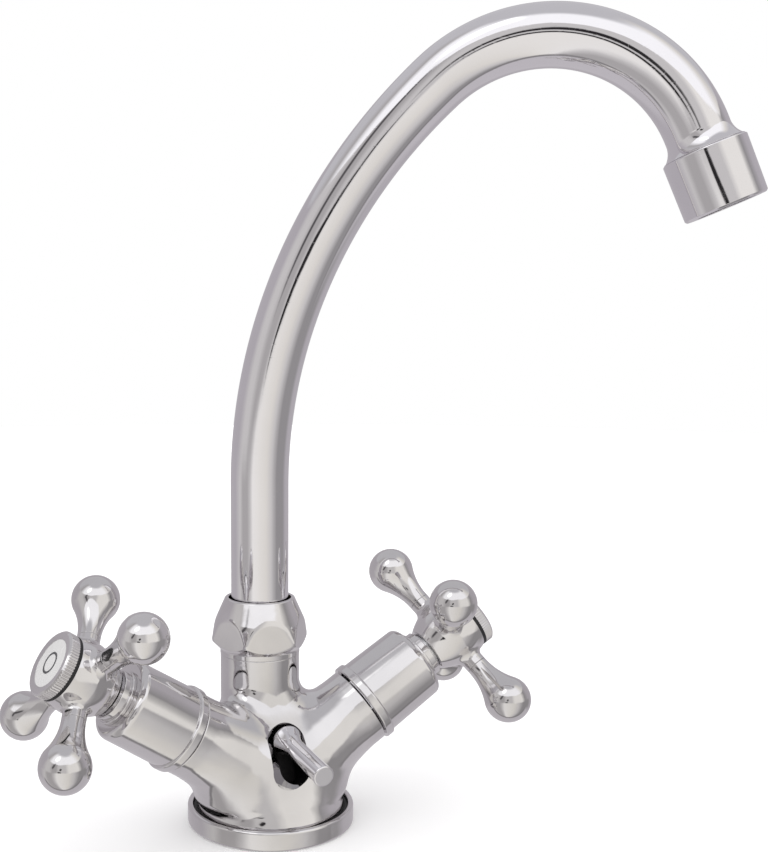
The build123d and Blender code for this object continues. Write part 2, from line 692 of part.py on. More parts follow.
def spokes():
    """Frames of the four handle arms: Z outward from the hub's middle."""
    turns = [360 * i / HANDLE_ARMS for i in range(HANDLE_ARMS)]
    return [Pos(0, 0, CROSS_S) * Rot(0, 0, turn) * Rot(0, 90, 0) for turn in turns]


def handle_boss():
    """Round boss whose root flares into the hub along a quarter arc."""
    root_at = SEAM_R - BOSS_LAND - BOSS_FILLET
    root_r = BOSS_R + BOSS_FILLET
    middle = BOSS_FILLET * (1 - sqrt(0.5))
    return turned_outline(
        Line((0, HUB_R / 2), (root_r, HUB_R / 2)),
        Line((root_r, HUB_R / 2), (root_r, root_at)),
        ThreePointArc((root_r, root_at), (BOSS_R + middle, root_at + middle), (BOSS_R, SEAM_R - BOSS_LAND)),
        Line((BOSS_R, SEAM_R - BOSS_LAND), (BOSS_R, SEAM_R)),
        Line((BOSS_R, SEAM_R), (0, SEAM_R)),
        Line((0, SEAM_R), (0, HUB_R / 2)),
    )


def handle_arms():
    """Four ball arms: each neck is an arc that is parallel to the arm at the seam and meets the ball."""
    reach = BALL_AT - ARM_NECK_AT
    neck_arc = (reach**2 + BOSS_R**2 - BALL_R**2) / (2 * (BALL_R - BOSS_R))
    span = neck_arc + BALL_R
    meet_r = (neck_arc + BOSS_R) * BALL_R / span
    meet_at = BALL_AT - reach * BALL_R / span
    turn = asin(reach / span)
    half_r = BOSS_R + neck_arc * (1 - cos(turn / 2))
    half_at = ARM_NECK_AT + neck_arc * sin(turn / 2)
    spigot_at = SEAM_R - ARM_SPIGOT_LENGTH
    arm = turned_outline(
        Line((0, spigot_at), (ARM_SPIGOT_R, spigot_at)),
        Line((ARM_SPIGOT_R, spigot_at), (ARM_SPIGOT_R, SEAM_R)),
        Line((ARM_SPIGOT_R, SEAM_R), (BOSS_R, SEAM_R)),
        Line((BOSS_R, SEAM_R), (BOSS_R, ARM_NECK_AT)),
        ThreePointArc((BOSS_R, ARM_NECK_AT), (half_r, half_at), (meet_r, meet_at)),
        ThreePointArc((meet_r, meet_at), (BALL_R, BALL_AT), (0, BALL_AT + BALL_R)),
        Line((0, BALL_AT + BALL_R), (0, spigot_at)),
    )
    return Compound(children=[spoke * arm for spoke in spokes()])


def handle_screw():
    """Slotted screw that draws the handle on to the stem."""
    screw = rod(SCREW_R, SCREW_SEAT_S - SCREW_LENGTH, SCREW_SEAT_S)
    head_end = SCREW_SEAT_S + SCREW_HEAD_T
    screw += rod(SCREW_HEAD_R, SCREW_SEAT_S, head_end)
    return screw - Pos(0, 0, head_end) * Box(3 * SCREW_HEAD_R, SCREW_SLOT, SCREW_HEAD_T)


def cap_seal():
    """Black ring between the hub and the index cap."""
    return ring(CAP_SEAL_R, CAP_SOCKET_R, HUB_END, CAP_S)


def index_cap():
    """Knurled cap with a spigot in the hub and a round seat for the index disc."""
    spigot_r = CAP_SOCKET_R - RUNNING_GAP
    floor = CAP_END - INDEX_SUNK - INDEX_T
    spigot_bore_r = spigot_r - CAP_SPIGOT_WALL
    seat_r = INDEX_R + RUNNING_GAP
    body = turned(
        (spigot_bore_r, CAP_S - CAP_SPIGOT_LENGTH),
        (spigot_r, CAP_S - CAP_SPIGOT_LENGTH),
        (spigot_r, CAP_S),
        (CAP_R, CAP_S),
        (CAP_R, CAP_END - CAP_CHAMFER),
        (CAP_R - CAP_CHAMFER, CAP_END, 0.3),
        (seat_r, CAP_END - CAP_BEVEL),
        (seat_r, floor),
        (0, floor),
        (0, floor - CAP_SPIGOT_WALL),
        (spigot_bore_r, floor - CAP_SPIGOT_WALL),
    )
    knurl = toothed(CAP_R, CAP_R - KNURL_DEPTH, KNURL_TEETH, CAP_S - CAP_SPIGOT_LENGTH, CAP_END)
    return body & knurl


def index_disc():
    """Slightly domed white disc in the cap."""
    floor = CAP_END - INDEX_SUNK - INDEX_T
    top = floor + INDEX_T
    rim = top - INDEX_DOME
    dome_r = (INDEX_R**2 + INDEX_DOME**2) / (2 * INDEX_DOME)
    half = INDEX_R / 2
    middle = (half, top - dome_r + sqrt(dome_r**2 - half**2))
    return turned_outline(
        Line((0, floor), (INDEX_R, floor)),
        Line((INDEX_R, floor), (INDEX_R, rim)),
        ThreePointArc((INDEX_R, rim), middle, (0, top)),
        Line((0, top), (0, floor)),
    )


def spout_nut():
    """Bell-shaped nut: turned outline cut by six flats, open at the top round the spout."""
    top = NECK_TOP + NUT_H
    bore_r = SPIGOT_R + THREAD_GAP
    bell = turned(
        (bore_r, NECK_TOP),
        (NUT_FOOT_R, NECK_TOP),
        (NUT_FOOT_R, NECK_TOP + NUT_FOOT_H, 0.6),
        (NUT_R, NECK_TOP + NUT_SWELL_AT, 1.5),
        (NUT_SHOULDER_R, NECK_TOP + NUT_SHOULDER_AT, 12.0),
        (NUT_TOP_R, top, NUT_LIP),
        (NUT_MOUTH_R, top),
        (NUT_MOUTH_R, NUT_CEILING),
        (bore_r, NUT_CEILING),
    )
    flats = extrude(RegularPolygon(NUT_ACROSS_FLATS / 2, 6, major_radius=False), NUT_H)
    prism = Pos(0, 0, NECK_TOP) * Rot(0, 0, NUT_TURN) * flats
    return SPOUT_AXIS * (bell & prism)


def glide_ring_lower():
    """Plastic ring on the body's spigot, under the spout's collar."""
    return SPOUT_AXIS * ring(BUSH_COLLAR_R, NECK_BORE_R, SPIGOT_TOP, COLLAR_Z)


def glide_ring_upper():
    """Plastic ring between the spout's collar and the nut."""
    low = COLLAR_Z + BUSH_COLLAR_T + DISC_GAP
    return SPOUT_AXIS * ring(BUSH_COLLAR_R, NECK_BORE_R, low, NUT_CEILING)


def bush_o_ring_heights():
    """Heights of the two seals low on the spout's bush."""
    first = BUSH_FOOT + BUSH_O_RING_AT
    return [first, first + BUSH_O_RING_PITCH]


def spout_bush():
    """Brass bush brazed on the foot of the spout: it turns in the neck on its collar."""
    bush = rod(BUSH_R, BUSH_FOOT, BUSH_TOP)
    bush += rod(BUSH_COLLAR_R, COLLAR_Z + DISC_GAP, COLLAR_Z + BUSH_COLLAR_T)
    bush -= rod(BUSH_BORE_R, BUSH_FOOT, SPOUT_FOOT)
    bush -= rod(TUBE_R + BRAZE_GAP, SPOUT_FOOT, BUSH_TOP)
    for height in bush_o_ring_heights():
        groove_half = BUSH_O_RING_R + SEAL_GAP
        bush -= ring(BUSH_R + 1, BUSH_R - 2 * BUSH_O_RING_R, height - groove_half, height + groove_half)
    return SPOUT_AXIS * bush


def spout_o_rings():
    """Two seals in the bush's grooves."""
    middle_r = BUSH_R - BUSH_O_RING_R + RUNNING_GAP / 2
    section_r = BUSH_O_RING_R - RUNNING_GAP / 2
    rings = [o_ring(middle_r, section_r, height) for height in bush_o_ring_heights()]
    return SPOUT_AXIS * Compound(children=rings)


def spout_path():
    """Middle line of the spout: upright, a long lean, then the crown over to the outlet."""
    riser = Line((0, SPOUT_FOOT), (0, RISER_TOP))
    lean = JernArc(riser @ 1, (0, 1), SWEEP_R, -SWEEP_ANGLE)
    crown = JernArc(lean @ 1, lean % 1, CROWN_R, -CROWN_ANGLE)
    return riser, lean, crown


def tip_plane():
    """Frame at the end of the bent tube: Z out of the tube, towards the outlet."""
    riser, lean, crown = spout_path()
    end = SPOUT_PLANE.from_local_coords(crown @ 1)
    ahead = SPOUT_PLANE.from_local_coords(crown % 1) - SPOUT_PLANE.origin
    return Plane(origin=end, x_dir=SPOUT_PLANE.z_dir, z_dir=ahead)


def spout_tube():
    """Bent tube whose end swells into a bell and carries the aerator's thread."""
    path = SPOUT_PLANE * (Curve() + list(spout_path()))
    start = SPOUT_AXIS * Pos(0, 0, SPOUT_FOOT)
    outside = sweep(start * Circle(TUBE_R), path=path)
    inside = sweep(start * Circle(TUBE_R - TUBE_WALL), path=path)
    half = FLARE_LENGTH * 0.55
    half_r = TUBE_R + 0.22 * (FLARE_R - TUBE_R)
    thread_end = FLARE_LENGTH + TIP_THREAD_LENGTH
    bell = turned_outline(
        Line((0, 0), (TUBE_R, 0)),
        ThreePointArc((TUBE_R, 0), (half_r, half), (FLARE_R, FLARE_LENGTH)),
        Line((FLARE_R, FLARE_LENGTH), (TIP_THREAD_R, FLARE_LENGTH)),
        Line((TIP_THREAD_R, FLARE_LENGTH), (TIP_THREAD_R, thread_end)),
        Line((TIP_THREAD_R, thread_end), (0, thread_end)),
        Line((0, thread_end), (0, 0)),
    )
    tip = tip_plane()
    bore = tip * rod(TUBE_R - TUBE_WALL, 0, thread_end)
    return outside + tip * bell - inside - bore


def outlet_plane():
    """Frame at the top of the aerator: Z out along the water."""
    return tip_plane().offset(FLARE_LENGTH)


def insert_top():
    """Depth of the insert's upper face below the aerator's top."""
    return TIP_THREAD_LENGTH + AERATOR_SEAL_T


def insert_radius():
    """Radius of the aerator's insert, inside the housing's bore."""
    return AERATOR_FOOT_R - AERATOR_WALL - RUNNING_GAP


def aerator_housing():
    """Tapered chrome shell with a chamfered foot and a lip that holds the insert."""
    thread_r = TIP_THREAD_R + THREAD_GAP
    bore_r = AERATOR_FOOT_R - AERATOR_WALL
    lip = AERATOR_LENGTH - AERATOR_LIP_T
    shell = turned(
        (thread_r, 0),
        (AERATOR_TOP_R, 0, AERATOR_EDGE),
        (AERATOR_FOOT_R + AERATOR_EDGE / 2, AERATOR_LENGTH - AERATOR_EDGE),
        (AERATOR_FOOT_R - AERATOR_EDGE / 2, AERATOR_LENGTH),
        (bore_r - AERATOR_LIP, AERATOR_LENGTH),
        (bore_r - AERATOR_LIP, lip),
        (bore_r, lip),
        (bore_r, insert_top()),
        (thread_r, insert_top()),
    )
    return outlet_plane() * shell


def aerator_seal():
    """Flat washer between the spout's thread and the insert."""
    outer = insert_radius()
    return outlet_plane() * ring(outer, outer - AERATOR_SEAL_WIDTH, TIP_THREAD_LENGTH, insert_top())


def aerator_insert():
    """Plastic insert with rings of small jets."""
    low = AERATOR_LENGTH - AERATOR_LIP_T - RUNNING_GAP
    top = insert_top() + RUNNING_GAP
    insert = rod(insert_radius(), top, low)
    jets = rod(INSERT_HOLE_R, top, low)
    for i in range(1, INSERT_RINGS + 1):
        for k in range(6 * i):
            jets += Rot(0, 0, 60 * k / i) * Pos(i * INSERT_PITCH, 0, 0) * rod(INSERT_HOLE_R, top, low)
    return outlet_plane() * (insert - jets)


nodes = {
    "base_flange": base_flange(),
    "base_gasket": base_gasket(),
    "flange_seal": flange_seal(),
    "body_casting": body_casting(),
    "lever_pin": lever_pin(),
    "waste_lever": waste_lever(),
    "spout_nut": spout_nut(),
    "glide_ring_lower": glide_ring_lower(),
    "glide_ring_upper": glide_ring_upper(),
    "spout_bush": spout_bush(),
    "spout_o_rings": spout_o_rings(),
    "spout_tube": spout_tube(),
    "aerator_housing": aerator_housing(),
    "aerator_seal": aerator_seal(),
    "aerator_insert": aerator_insert(),
}

valve_pieces = {
    "seat_seal": seat_seal(),
    "fixed_disc": fixed_disc(),
    "moving_disc": moving_disc(),
    "spindle": spindle(),
    "spindle_o_rings": spindle_o_rings(),
    "circlip": circlip(),
    "valve_bonnet": valve_bonnet(),
    "sleeve": sleeve(),
    "lock_ring": lock_ring(),
    "handle_hub": handle_hub(),
    "handle_arms": handle_arms(),
    "handle_screw": handle_screw(),
    "cap_seal": cap_seal(),
    "index_cap": index_cap(),
    "index_disc": index_disc(),
}

for name, piece in valve_pieces.items():
    for side, label in ((1, "right"), (-1, "left")):
        nodes[f"{name}_{label}"] = valve_plane(side) * piece

os.makedirs("parts", exist_ok=True)
for name, solid in nodes.items():
    export_step(solid, f"parts/{name}.step")
    print(name, round(solid.volume, 1))
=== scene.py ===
"""Basin mixer tap: the visible surface of every piece, worked out round the packed model."""

import json

import bpy
import numpy as np
from bpy.props import FloatProperty, FloatVectorProperty, IntProperty, PointerProperty
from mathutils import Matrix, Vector


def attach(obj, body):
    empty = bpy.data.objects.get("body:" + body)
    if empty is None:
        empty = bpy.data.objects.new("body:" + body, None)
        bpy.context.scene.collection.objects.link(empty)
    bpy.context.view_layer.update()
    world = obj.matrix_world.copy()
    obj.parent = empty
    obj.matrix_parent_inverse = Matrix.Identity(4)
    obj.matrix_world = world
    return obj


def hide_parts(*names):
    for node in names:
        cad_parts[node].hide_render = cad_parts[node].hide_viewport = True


bl_info = {
    "name": "Basin mixer tap",
    "version": (1, 0, 0),
    "blender": (4, 5, 0),
    "location": "View3D > Sidebar > Tap",
    "description": "Surfaces, finishes and studio of a basin mixer tap with cross handles",
    "category": "Add Mesh",
}

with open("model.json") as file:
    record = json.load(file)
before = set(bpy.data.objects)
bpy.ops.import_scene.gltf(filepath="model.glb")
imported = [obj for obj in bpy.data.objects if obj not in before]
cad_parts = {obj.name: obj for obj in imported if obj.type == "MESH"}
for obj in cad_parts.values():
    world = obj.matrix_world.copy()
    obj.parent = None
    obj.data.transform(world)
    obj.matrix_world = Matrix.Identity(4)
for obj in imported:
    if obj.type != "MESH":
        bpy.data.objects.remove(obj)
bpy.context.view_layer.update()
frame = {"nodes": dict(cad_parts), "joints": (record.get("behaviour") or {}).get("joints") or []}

# All lengths are in metres, in the frame of the packed model.
MM = 0.001
TURN = 2 * np.pi
WELD = 2e-7
SIDES = ("left", "right")

# Steps of the casting's and the hub's grids
NECK_STEPS = 180
NECK_ROWS = 16
SKIRT_STEPS = 240
SKIRT_ROWS = 12
SLOT_QUARTER = 18
SLOT_SIDE = 24
FRONT_UPPER = 14
FRONT_LOWER = 8
BACK_STEPS = 14
ARM_ROWS = 56
SECTOR_STEPS = 16
HUB_QUARTER = 28
HUB_ROWS = 22


def length(label, millimetres, text):
    """Length property with its default in millimetres."""
    return FloatProperty(name=label, description=text, default=millimetres * MM, unit="LENGTH", subtype="DISTANCE")


def angle(label, degrees, text):
    """Angle property with its default in degrees."""
    return FloatProperty(name=label, description=text, default=np.radians(degrees), unit="ROTATION", subtype="ANGLE")


def colour(label, shade, text):
    """Colour property."""
    return FloatVectorProperty(name=label, description=text, default=shade, size=3, min=0, max=1, subtype="COLOR")


def share(label, value, text):
    """Plain number between nothing and one."""
    return FloatProperty(name=label, description=text, default=value, min=0, max=1, subtype="FACTOR")


class FootSizes(bpy.types.PropertyGroup):
    """Flange and the black ring in its groove."""

    flange_radius: length("Flange radius", 26.0, "Outside of the round flange")
    flange_height: length("Flange height", 6.0, "Top of the flange's lip above the basin")
    lip_width: length("Lip width", 1.7, "Width of the raised lip")
    ledge_height: length("Ledge height", 3.5, "Seat of the body inside the lip")
    bore_radius: length("Bore radius", 19.0, "Hole in the middle of the flange")
    edge: length("Edge rounding", 0.9, "Rounding of the outer edges")
    gasket_height: length("Gasket recess", 1.2, "Depth of the recess for the gasket")
    gasket_radius: length("Gasket recess radius", 23.9, "Radius of the recess for the gasket")
    seal_inner: length("Seal inner radius", 23.12, "Inside of the black ring")
    seal_outer: length("Seal outer radius", 24.22, "Outside of the black ring")
    seal_height: length("Seal height", 1.2, "Height of the black ring")


class BodySizes(bpy.types.PropertyGroup):
    """Casting: skirt, arms, neck and slot."""

    ledge_height: length("Ledge height", 3.5, "Underside of the casting")
    foot_edge: length("Foot edge", 0.8, "Rounding of the skirt's lower edge")
    skirt_radius: length("Skirt radius", 23.2, "Radius at the foot of the skirt")
    shoulder_radius: length("Shoulder radius", 15.0, "Radius at the top of the skirt's slope")
    shoulder_height: length("Shoulder height", 18.0, "Height of the top of the skirt's slope")
    skirt_bend: FloatProperty(name="Skirt bend", description="Power that bends the skirt's outline", default=1.9, min=1)
    foot_side_round: length("Foot side hollow", 8.0, "Hollow between the skirt and the arms")
    foot_front_round: length("Foot front hollow", 2.5, "Hollow over the skirt at the front and back")
    arm_radius: length("Arm radius", 12.6, "Radius at the arm's end")
    arm_taper: length("Arm taper", 4.8, "Growth of the arm towards the middle")
    taper_length: length("Taper length", 33.0, "Length over which the arm grows")
    arm_length: length("Arm length", 36.5, "Station of the arm's end face")
    arm_edge: length("Arm edge", 0.4, "Rounding of the arm's end")
    valve_bore: length("Valve bore", 10.3, "Radius of the valve's bore")
    valve_bore_depth: length("Bore depth", 14.0, "Depth of the valve's bore")
    crotch_round: length("Arm hollow", 6.0, "Hollow between the two arms")
    neck_radius: length("Neck radius", 12.4, "Radius of the neck")
    neck_top: length("Neck top", 51.8, "Height of the neck's step")
    neck_side_round: length("Neck side hollow", 6.0, "Hollow at the sides and back of the neck")
    neck_front_round: length("Neck front hollow", 9.0, "Hollow at the front of the neck")
    neck_bore: length("Neck bore", 9.9, "Radius of the neck's bore")
    neck_bore_depth: length("Neck bore depth", 14.8, "Depth of the neck's bore below the step")
    spigot_radius: length("Spigot radius", 11.6, "Threaded spigot under the nut")
    spigot_height: length("Spigot height", 8.2, "Height of that spigot")
    slot_y: length("Slot place", -13.5, "Middle of the slot along Y")
    slot_height: length("Slot height", 25.0, "Height of the slot's middle")
    slot_lean: angle("Slot lean", 26.8, "Lean of the slot's plane")
    slot_width: length("Slot width", 9.8, "Width of the lever's slot")
    slot_length: length("Slot length", 18.8, "Length of the lever's slot")
    slot_chamfer: length("Slot chamfer depth", 0.8, "Depth of the chamfer round the slot")
    slot_edge: length("Slot chamfer width", 0.35, "Width of the chamfer round the slot")
    slot_crescent: length("Slot crescent", 2.0, "Extra width of the chamfer at the left")
    slot_fall: length("Crescent depth", 1.3, "Extra depth of the chamfer at the left")
    slot_inset: length("Crescent inset", 1.2, "How far the crescent reaches into the slot")
    slot_depth: length("Slot depth", 9.3, "Depth of the slot behind its plane")
    inlet_x: length("Inlet X", 13.3, "Place of the two hose sockets")
    inlet_y: length("Inlet Y", -1.0, "Place of the two hose sockets")
    inlet_radius: length("Inlet radius", 4.5, "Radius of the hose sockets")
    stud_y: length("Stud Y", 12.0, "Place of the stud's socket")
    stud_radius: length("Stud radius", 3.4, "Radius of the stud's socket")
    rod_y: length("Pull rod Y", -9.067, "Place of the pull rod's passage")
    rod_radius: length("Pull rod radius", 3.0, "Radius of the pull rod's passage")
    smoothing: IntProperty(name="Smoothing", description="Rounds that even out the grid", default=40, min=0)


class LeverSizes(bpy.types.PropertyGroup):
    """Front lever."""

    droop: angle("Droop", 6.9, "Fall of the lever at rest")
    length: length("Length", 32.4, "Length from the pin to the end")
    rod_radius: length("Rod radius", 3.2, "Radius at the end")
    shank_radius: length("Shank radius", 2.6, "Radius of the hidden shank")
    eye_radius: length("Eye radius", 3.0, "Radius of the eye on the pin")
    neck_radius: length("Neck radius", 2.9, "Thinnest radius in front of the flare")
    neck_station: length("Neck station", 14.0, "Distance of that place from the pin")
    flare_radius: length("Flare radius", 4.6, "Radius of the flare's rim")
    flare_station: length("Flare station", 7.2, "Distance of the flare from the pin")
    flare_width: length("Flare width", 0.8, "Width of the flare's rim")
    edge: length("End edge", 0.5, "Rounding of the end")


class SpoutSizes(bpy.types.PropertyGroup):
    """Swan neck, its bell and the aerator."""

    turn: angle("Spout turn", -37.0, "Direction of the spout from the X axis, seen from above")
    foot: length("Foot", 53.67, "Height of the tube's lower end")
    riser_top: length("Riser top", 105.2, "Height where the straight riser ends")
    lean_radius: length("Lean radius", 160.0, "Radius of the long lean")
    lean_angle: angle("Lean angle", 48.0, "Angle of the long lean")
    crown_radius: length("Crown radius", 45.5, "Radius of the crown")
    crown_angle: angle("Crown angle", 109.5, "Angle of the crown")
    tube_radius: length("Tube radius", 9.0, "Outside of the tube")
    tube_wall: length("Tube wall", 1.0, "Wall of the tube")
    flare_length: length("Bell length", 5.3, "Length of the bell at the outlet")
    flare_radius: length("Bell radius", 11.3, "Radius of the bell's rim")
    thread_length: length("Thread length", 6.0, "Length of the thread inside the aerator")
    thread_radius: length("Thread radius", 10.0, "Outside of the aerator's thread")
    aerator_length: length("Aerator length", 17.2, "Length of the aerator's housing")
    aerator_top: length("Aerator top radius", 11.8, "Radius at the top of the housing")
    aerator_foot: length("Aerator foot radius", 11.35, "Radius at the foot of the housing")
    aerator_edge: length("Aerator edge", 0.5, "Chamfer at the foot of the housing")
    aerator_wall: length("Aerator wall", 1.5, "Wall of the housing round the insert")
    aerator_lip: length("Aerator lip", 1.4, "Width of the lip that holds the insert")
    seat_depth: length("Insert depth", 7.2, "Depth of the insert below the housing's top")


class NutSizes(bpy.types.PropertyGroup):
    """Bell nut with six flats round the spout's foot."""

    foot: length("Nut foot", 51.8, "Height of the nut's lower face")
    height: length("Nut height", 17.8, "Height of the nut")
    across_flats: length("Across flats", 27.0, "Distance between two opposite flats")
    turn: angle("Nut turn", 19.5, "Turn of the flats about the neck")
    foot_radius: length("Foot radius", 12.5, "Radius of the round foot")
    foot_height: length("Foot height", 1.6, "Height of the round foot")
    swell_radius: length("Swell radius", 15.6, "Widest radius of the bell")
    swell_height: length("Swell height", 4.7, "Height of the widest place")
    shoulder_radius: length("Shoulder radius", 14.3, "Radius where the bell turns in")
    shoulder_height: length("Shoulder height", 10.2, "Height where the bell turns in")
    shoulder_round: length("Shoulder rounding", 12.0, "Rounding of the bell's shoulder")
    top_radius: length("Top radius", 10.9, "Outside of the lip at the top")
    mouth_radius: length("Mouth radius", 9.8, "Hole round the tube")
    bore_radius: length("Thread radius", 11.65, "Thread inside the nut")
    ceiling: length("Ceiling", 64.0, "Height of the ceiling over the thread")
    edge: length("Flat edge", 0.45, "Softness of the edges between the flats and the bell")


class ValveSizes(bpy.types.PropertyGroup):
    """Sleeve and gland ring on each arm."""

    sleeve_start: length("Sleeve start", 37.0, "Station of the sleeve's back end")
    sleeve_end: length("Sleeve end", 60.5, "Station of the sleeve's front end")
    lip_radius: length("Lip radius", 13.4, "Radius of the ring at the back of the sleeve")
    lip_length: length("Lip length", 2.9, "Length of that ring")
    back_radius: length("Back radius", 12.6, "Radius of the sleeve next to its ring")
    front_radius: length("Front radius", 12.2, "Radius of the sleeve at its nose")
    nose_round: length("Nose rounding", 2.2, "Rounding of the sleeve's nose")
    nose_wall: length("Nose wall", 1.6, "Thickness of the nose")
    wall: length("Wall", 0.9, "Wall of the sleeve")
    mouth_radius: length("Mouth radius", 6.85, "Hole for the bonnet's nose")
    ring_radius: length("Gland ring radius", 8.5, "Radius of the gland ring's flange")
    ring_length: length("Gland flange", 1.3, "Length of the gland ring's flange")
    collar_radius: length("Collar radius", 7.7, "Radius of the gland ring's collar")
    collar_length: length("Collar length", 2.1, "Length of that collar")


class HandleSizes(bpy.types.PropertyGroup):
    """Hub, ball arms and index cap of each cross handle."""

    turn: angle("Handle turn", 40.35, "Turn of the cross about the valve's axis")
    hub_start: length("Hub start", 65.0, "Station of the hub's back")
    hub_end: length("Hub end", 80.9, "Station of the hub's front")
    cross_station: length("Cross station", 74.0, "Station of the ball arms")
    back_radius: length("Hub back radius", 7.4, "Radius at the hub's back")
    waist_radius: length("Hub waist radius", 9.6, "Radius between the back and the cross")
    waist_station: length("Hub waist station", 69.0, "Station of that radius")
    hub_radius: length("Hub radius", 11.0, "Radius at the cross")
    front_radius: length("Hub front radius", 9.95, "Radius at the hub's front")
    recess_radius: length("Recess radius", 6.3, "Recess for the circlip")
    recess_depth: length("Recess depth", 0.9, "Depth of that recess")
    socket_radius: length("Cap socket radius", 7.6, "Socket for the cap's spigot")
    socket_depth: length("Cap socket depth", 3.1, "Depth of that socket")
    boss_radius: length("Boss radius", 3.5, "Radius of each boss and of each arm's root")
    boss_round: length("Boss rounding", 1.6, "Rounding where a boss leaves the hub")
    seam_radius: length("Seam radius", 14.0, "Distance of the arm's seam from the valve's axis")
    spigot_radius: length("Spigot radius", 2.6, "Hidden spigot of each arm")
    spigot_length: length("Spigot length", 7.5, "Length of that spigot")
    ball_radius: length("Ball radius", 7.35, "Radius of the ball")
    ball_reach: length("Ball reach", 28.5, "Distance of the ball's middle from the valve's axis")
    seal_start: length("Cap seal start", 80.9, "Station of the black ring")
    seal_radius: length("Cap seal radius", 10.0, "Radius of the black ring")
    cap_start: length("Cap start", 81.9, "Station of the cap's back")
    cap_end: length("Cap end", 85.2, "Station of the cap's front")
    cap_radius: length("Cap radius", 10.1, "Radius over the knurl")
    cap_chamfer: length("Cap chamfer", 0.8, "Chamfer of the cap's front edge")
    cap_bevel: length("Cap bevel", 0.3, "Fall of the cap's face towards the disc")
    knurl_depth: length("Knurl depth", 0.3, "Depth of the straight knurl")
    knurl_teeth: IntProperty(name="Knurl teeth", description="Teeth round the cap", default=72, min=12)
    disc_radius: length("Disc radius", 7.3, "Radius of the index disc")
    disc_sunk: length("Disc sunk", 0.2, "Depth of the disc below the cap's front")
    disc_thickness: length("Disc thickness", 0.9, "Thickness of the index disc")
    disc_dome: length("Disc dome", 0.15, "Rise of the disc's middle")
    mark_radius: length("Mark radius", 3.0, "Radius of the plain ring on the disc")
    mark_width: length("Mark width", 0.7, "Width of that ring")
    mark_height: length("Mark height", 0.02, "Rise of that ring over the disc's middle")


class FinishSettings(bpy.types.PropertyGroup):
    """Colours and gloss of the finishes."""

    chrome: colour("Chrome", (0.80, 0.785, 0.805), "Colour of the polished chrome")
    chrome_gloss: share("Chrome roughness", 0.045, "Roughness of clean chrome")
    # Darker than the polished chrome: painted shade for the dimmer reflections on the flange, body, nut, sleeves and
    # handles.
    dull_chrome: colour("Cast chrome", (0.71, 0.695, 0.70), "Colour of the chrome on the castings")
    dull_gloss: share("Cast chrome roughness", 0.055, "Roughness of the chrome on the castings")
    # About half as bright as the polished chrome: painted shade on the slot's chamfer; only its higher roughness is the
    # chamfer's own finish.
    slot_chrome: colour("Slot chrome", (0.40, 0.39, 0.40), "Colour of the chrome on the slot's chamfer")
    brass: colour("Brass", (0.62, 0.45, 0.20), "Colour of machined brass")
    steel: colour("Steel", (0.52, 0.52, 0.53), "Colour of plain steel")
    # Near-black on the walls and end of the lever's slot: painted shade for the dark inside of the slot.
    casting: colour("Casting skin", (0.035, 0.033, 0.034), "Dark skin inside the lever's slot")
    rubber: colour("Rubber", (0.012, 0.012, 0.013), "Colour of the seals")
    white_plastic: colour("White plastic", (0.80, 0.80, 0.78), "Colour of the glide rings")
    grey_plastic: colour("Grey plastic", (0.30, 0.30, 0.31), "Colour of the aerator's insert")
    ceramic: colour("Ceramic", (0.86, 0.85, 0.82), "Colour of the valve discs")
    index_white: colour("Index white", (0.60, 0.595, 0.59), "Colour of the index disc")
    index_mark: colour("Index mark", (0.06, 0.06, 0.065), "Colour of the plain mark on the index disc")


class StageSettings(bpy.types.PropertyGroup):
    """Floor, light and camera."""

    floor: colour("Floor", (0.97, 0.965, 0.97), "Colour of the floor")
    backdrop: share("Backdrop", 1.0, "Brightness of the backdrop behind the tap")
    fill: FloatProperty(name="Fill light", description="Strength of the even light on matt surfaces", default=1.45, min=0)
    tent: FloatProperty(name="Tent light", description="Strength of the light tent", default=1.0, min=0)
    ripple: FloatProperty(name="Tent ripple", description="Waviness of the tent's edges, in degrees", default=9.0, min=0)
    floor_radius: length("Floor radius", 1500.0, "Radius of the round floor")


def settings(name):
    """Settings of one sub-part, as the panel shows them."""
    return getattr(bpy.context.scene, "tap_" + name)


# Outlines: each is a list of points (radius, station) with the outward normal at each point.
# Going along an outline, the solid is on the left and the normal points to the right.


def run(start, end, steps=1):
    """Straight run: evenly spaced points, all with the one normal to the right of the run."""
    share_along = np.linspace(0, 1, steps + 1)[:, None]
    start, end = np.array(start, float), np.array(end, float)
    points = start + share_along * (end - start)
    along = (end - start) / np.linalg.norm(end - start)
    return points, np.tile([along[1], -along[0]], (steps + 1, 1))


def arc(centre, radius, start, end, steps=12):
    """Round run: centre plus radius times (cos, sin) of evenly spaced angles, in radians.
    The normal points away from the centre where the angle grows and towards it where it falls."""
    angles = np.linspace(start, end, steps + 1)
    spread = np.stack([np.cos(angles), np.sin(angles)], 1)
    return np.array(centre) + radius * spread, spread * np.sign(end - start)


def arc_through(start, middle, end, steps=24):
    """Arc through three points: its centre is where two of their bisectors cross."""
    start, middle, end = (np.array(point, float) for point in (start, middle, end))
    sides = np.array([middle - start, end - start])
    centre = np.linalg.solve(2 * sides, [middle @ middle - start @ start, end @ end - start @ start])
    angles = [np.arctan2(*(point - centre)[::-1]) for point in (start, middle, end)]
    whole = (angles[2] - angles[0]) % TURN
    if (angles[1] - angles[0]) % TURN > whole:
        whole -= TURN
    return arc(centre, np.linalg.norm(start - centre), angles[0], angles[0] + whole, steps)


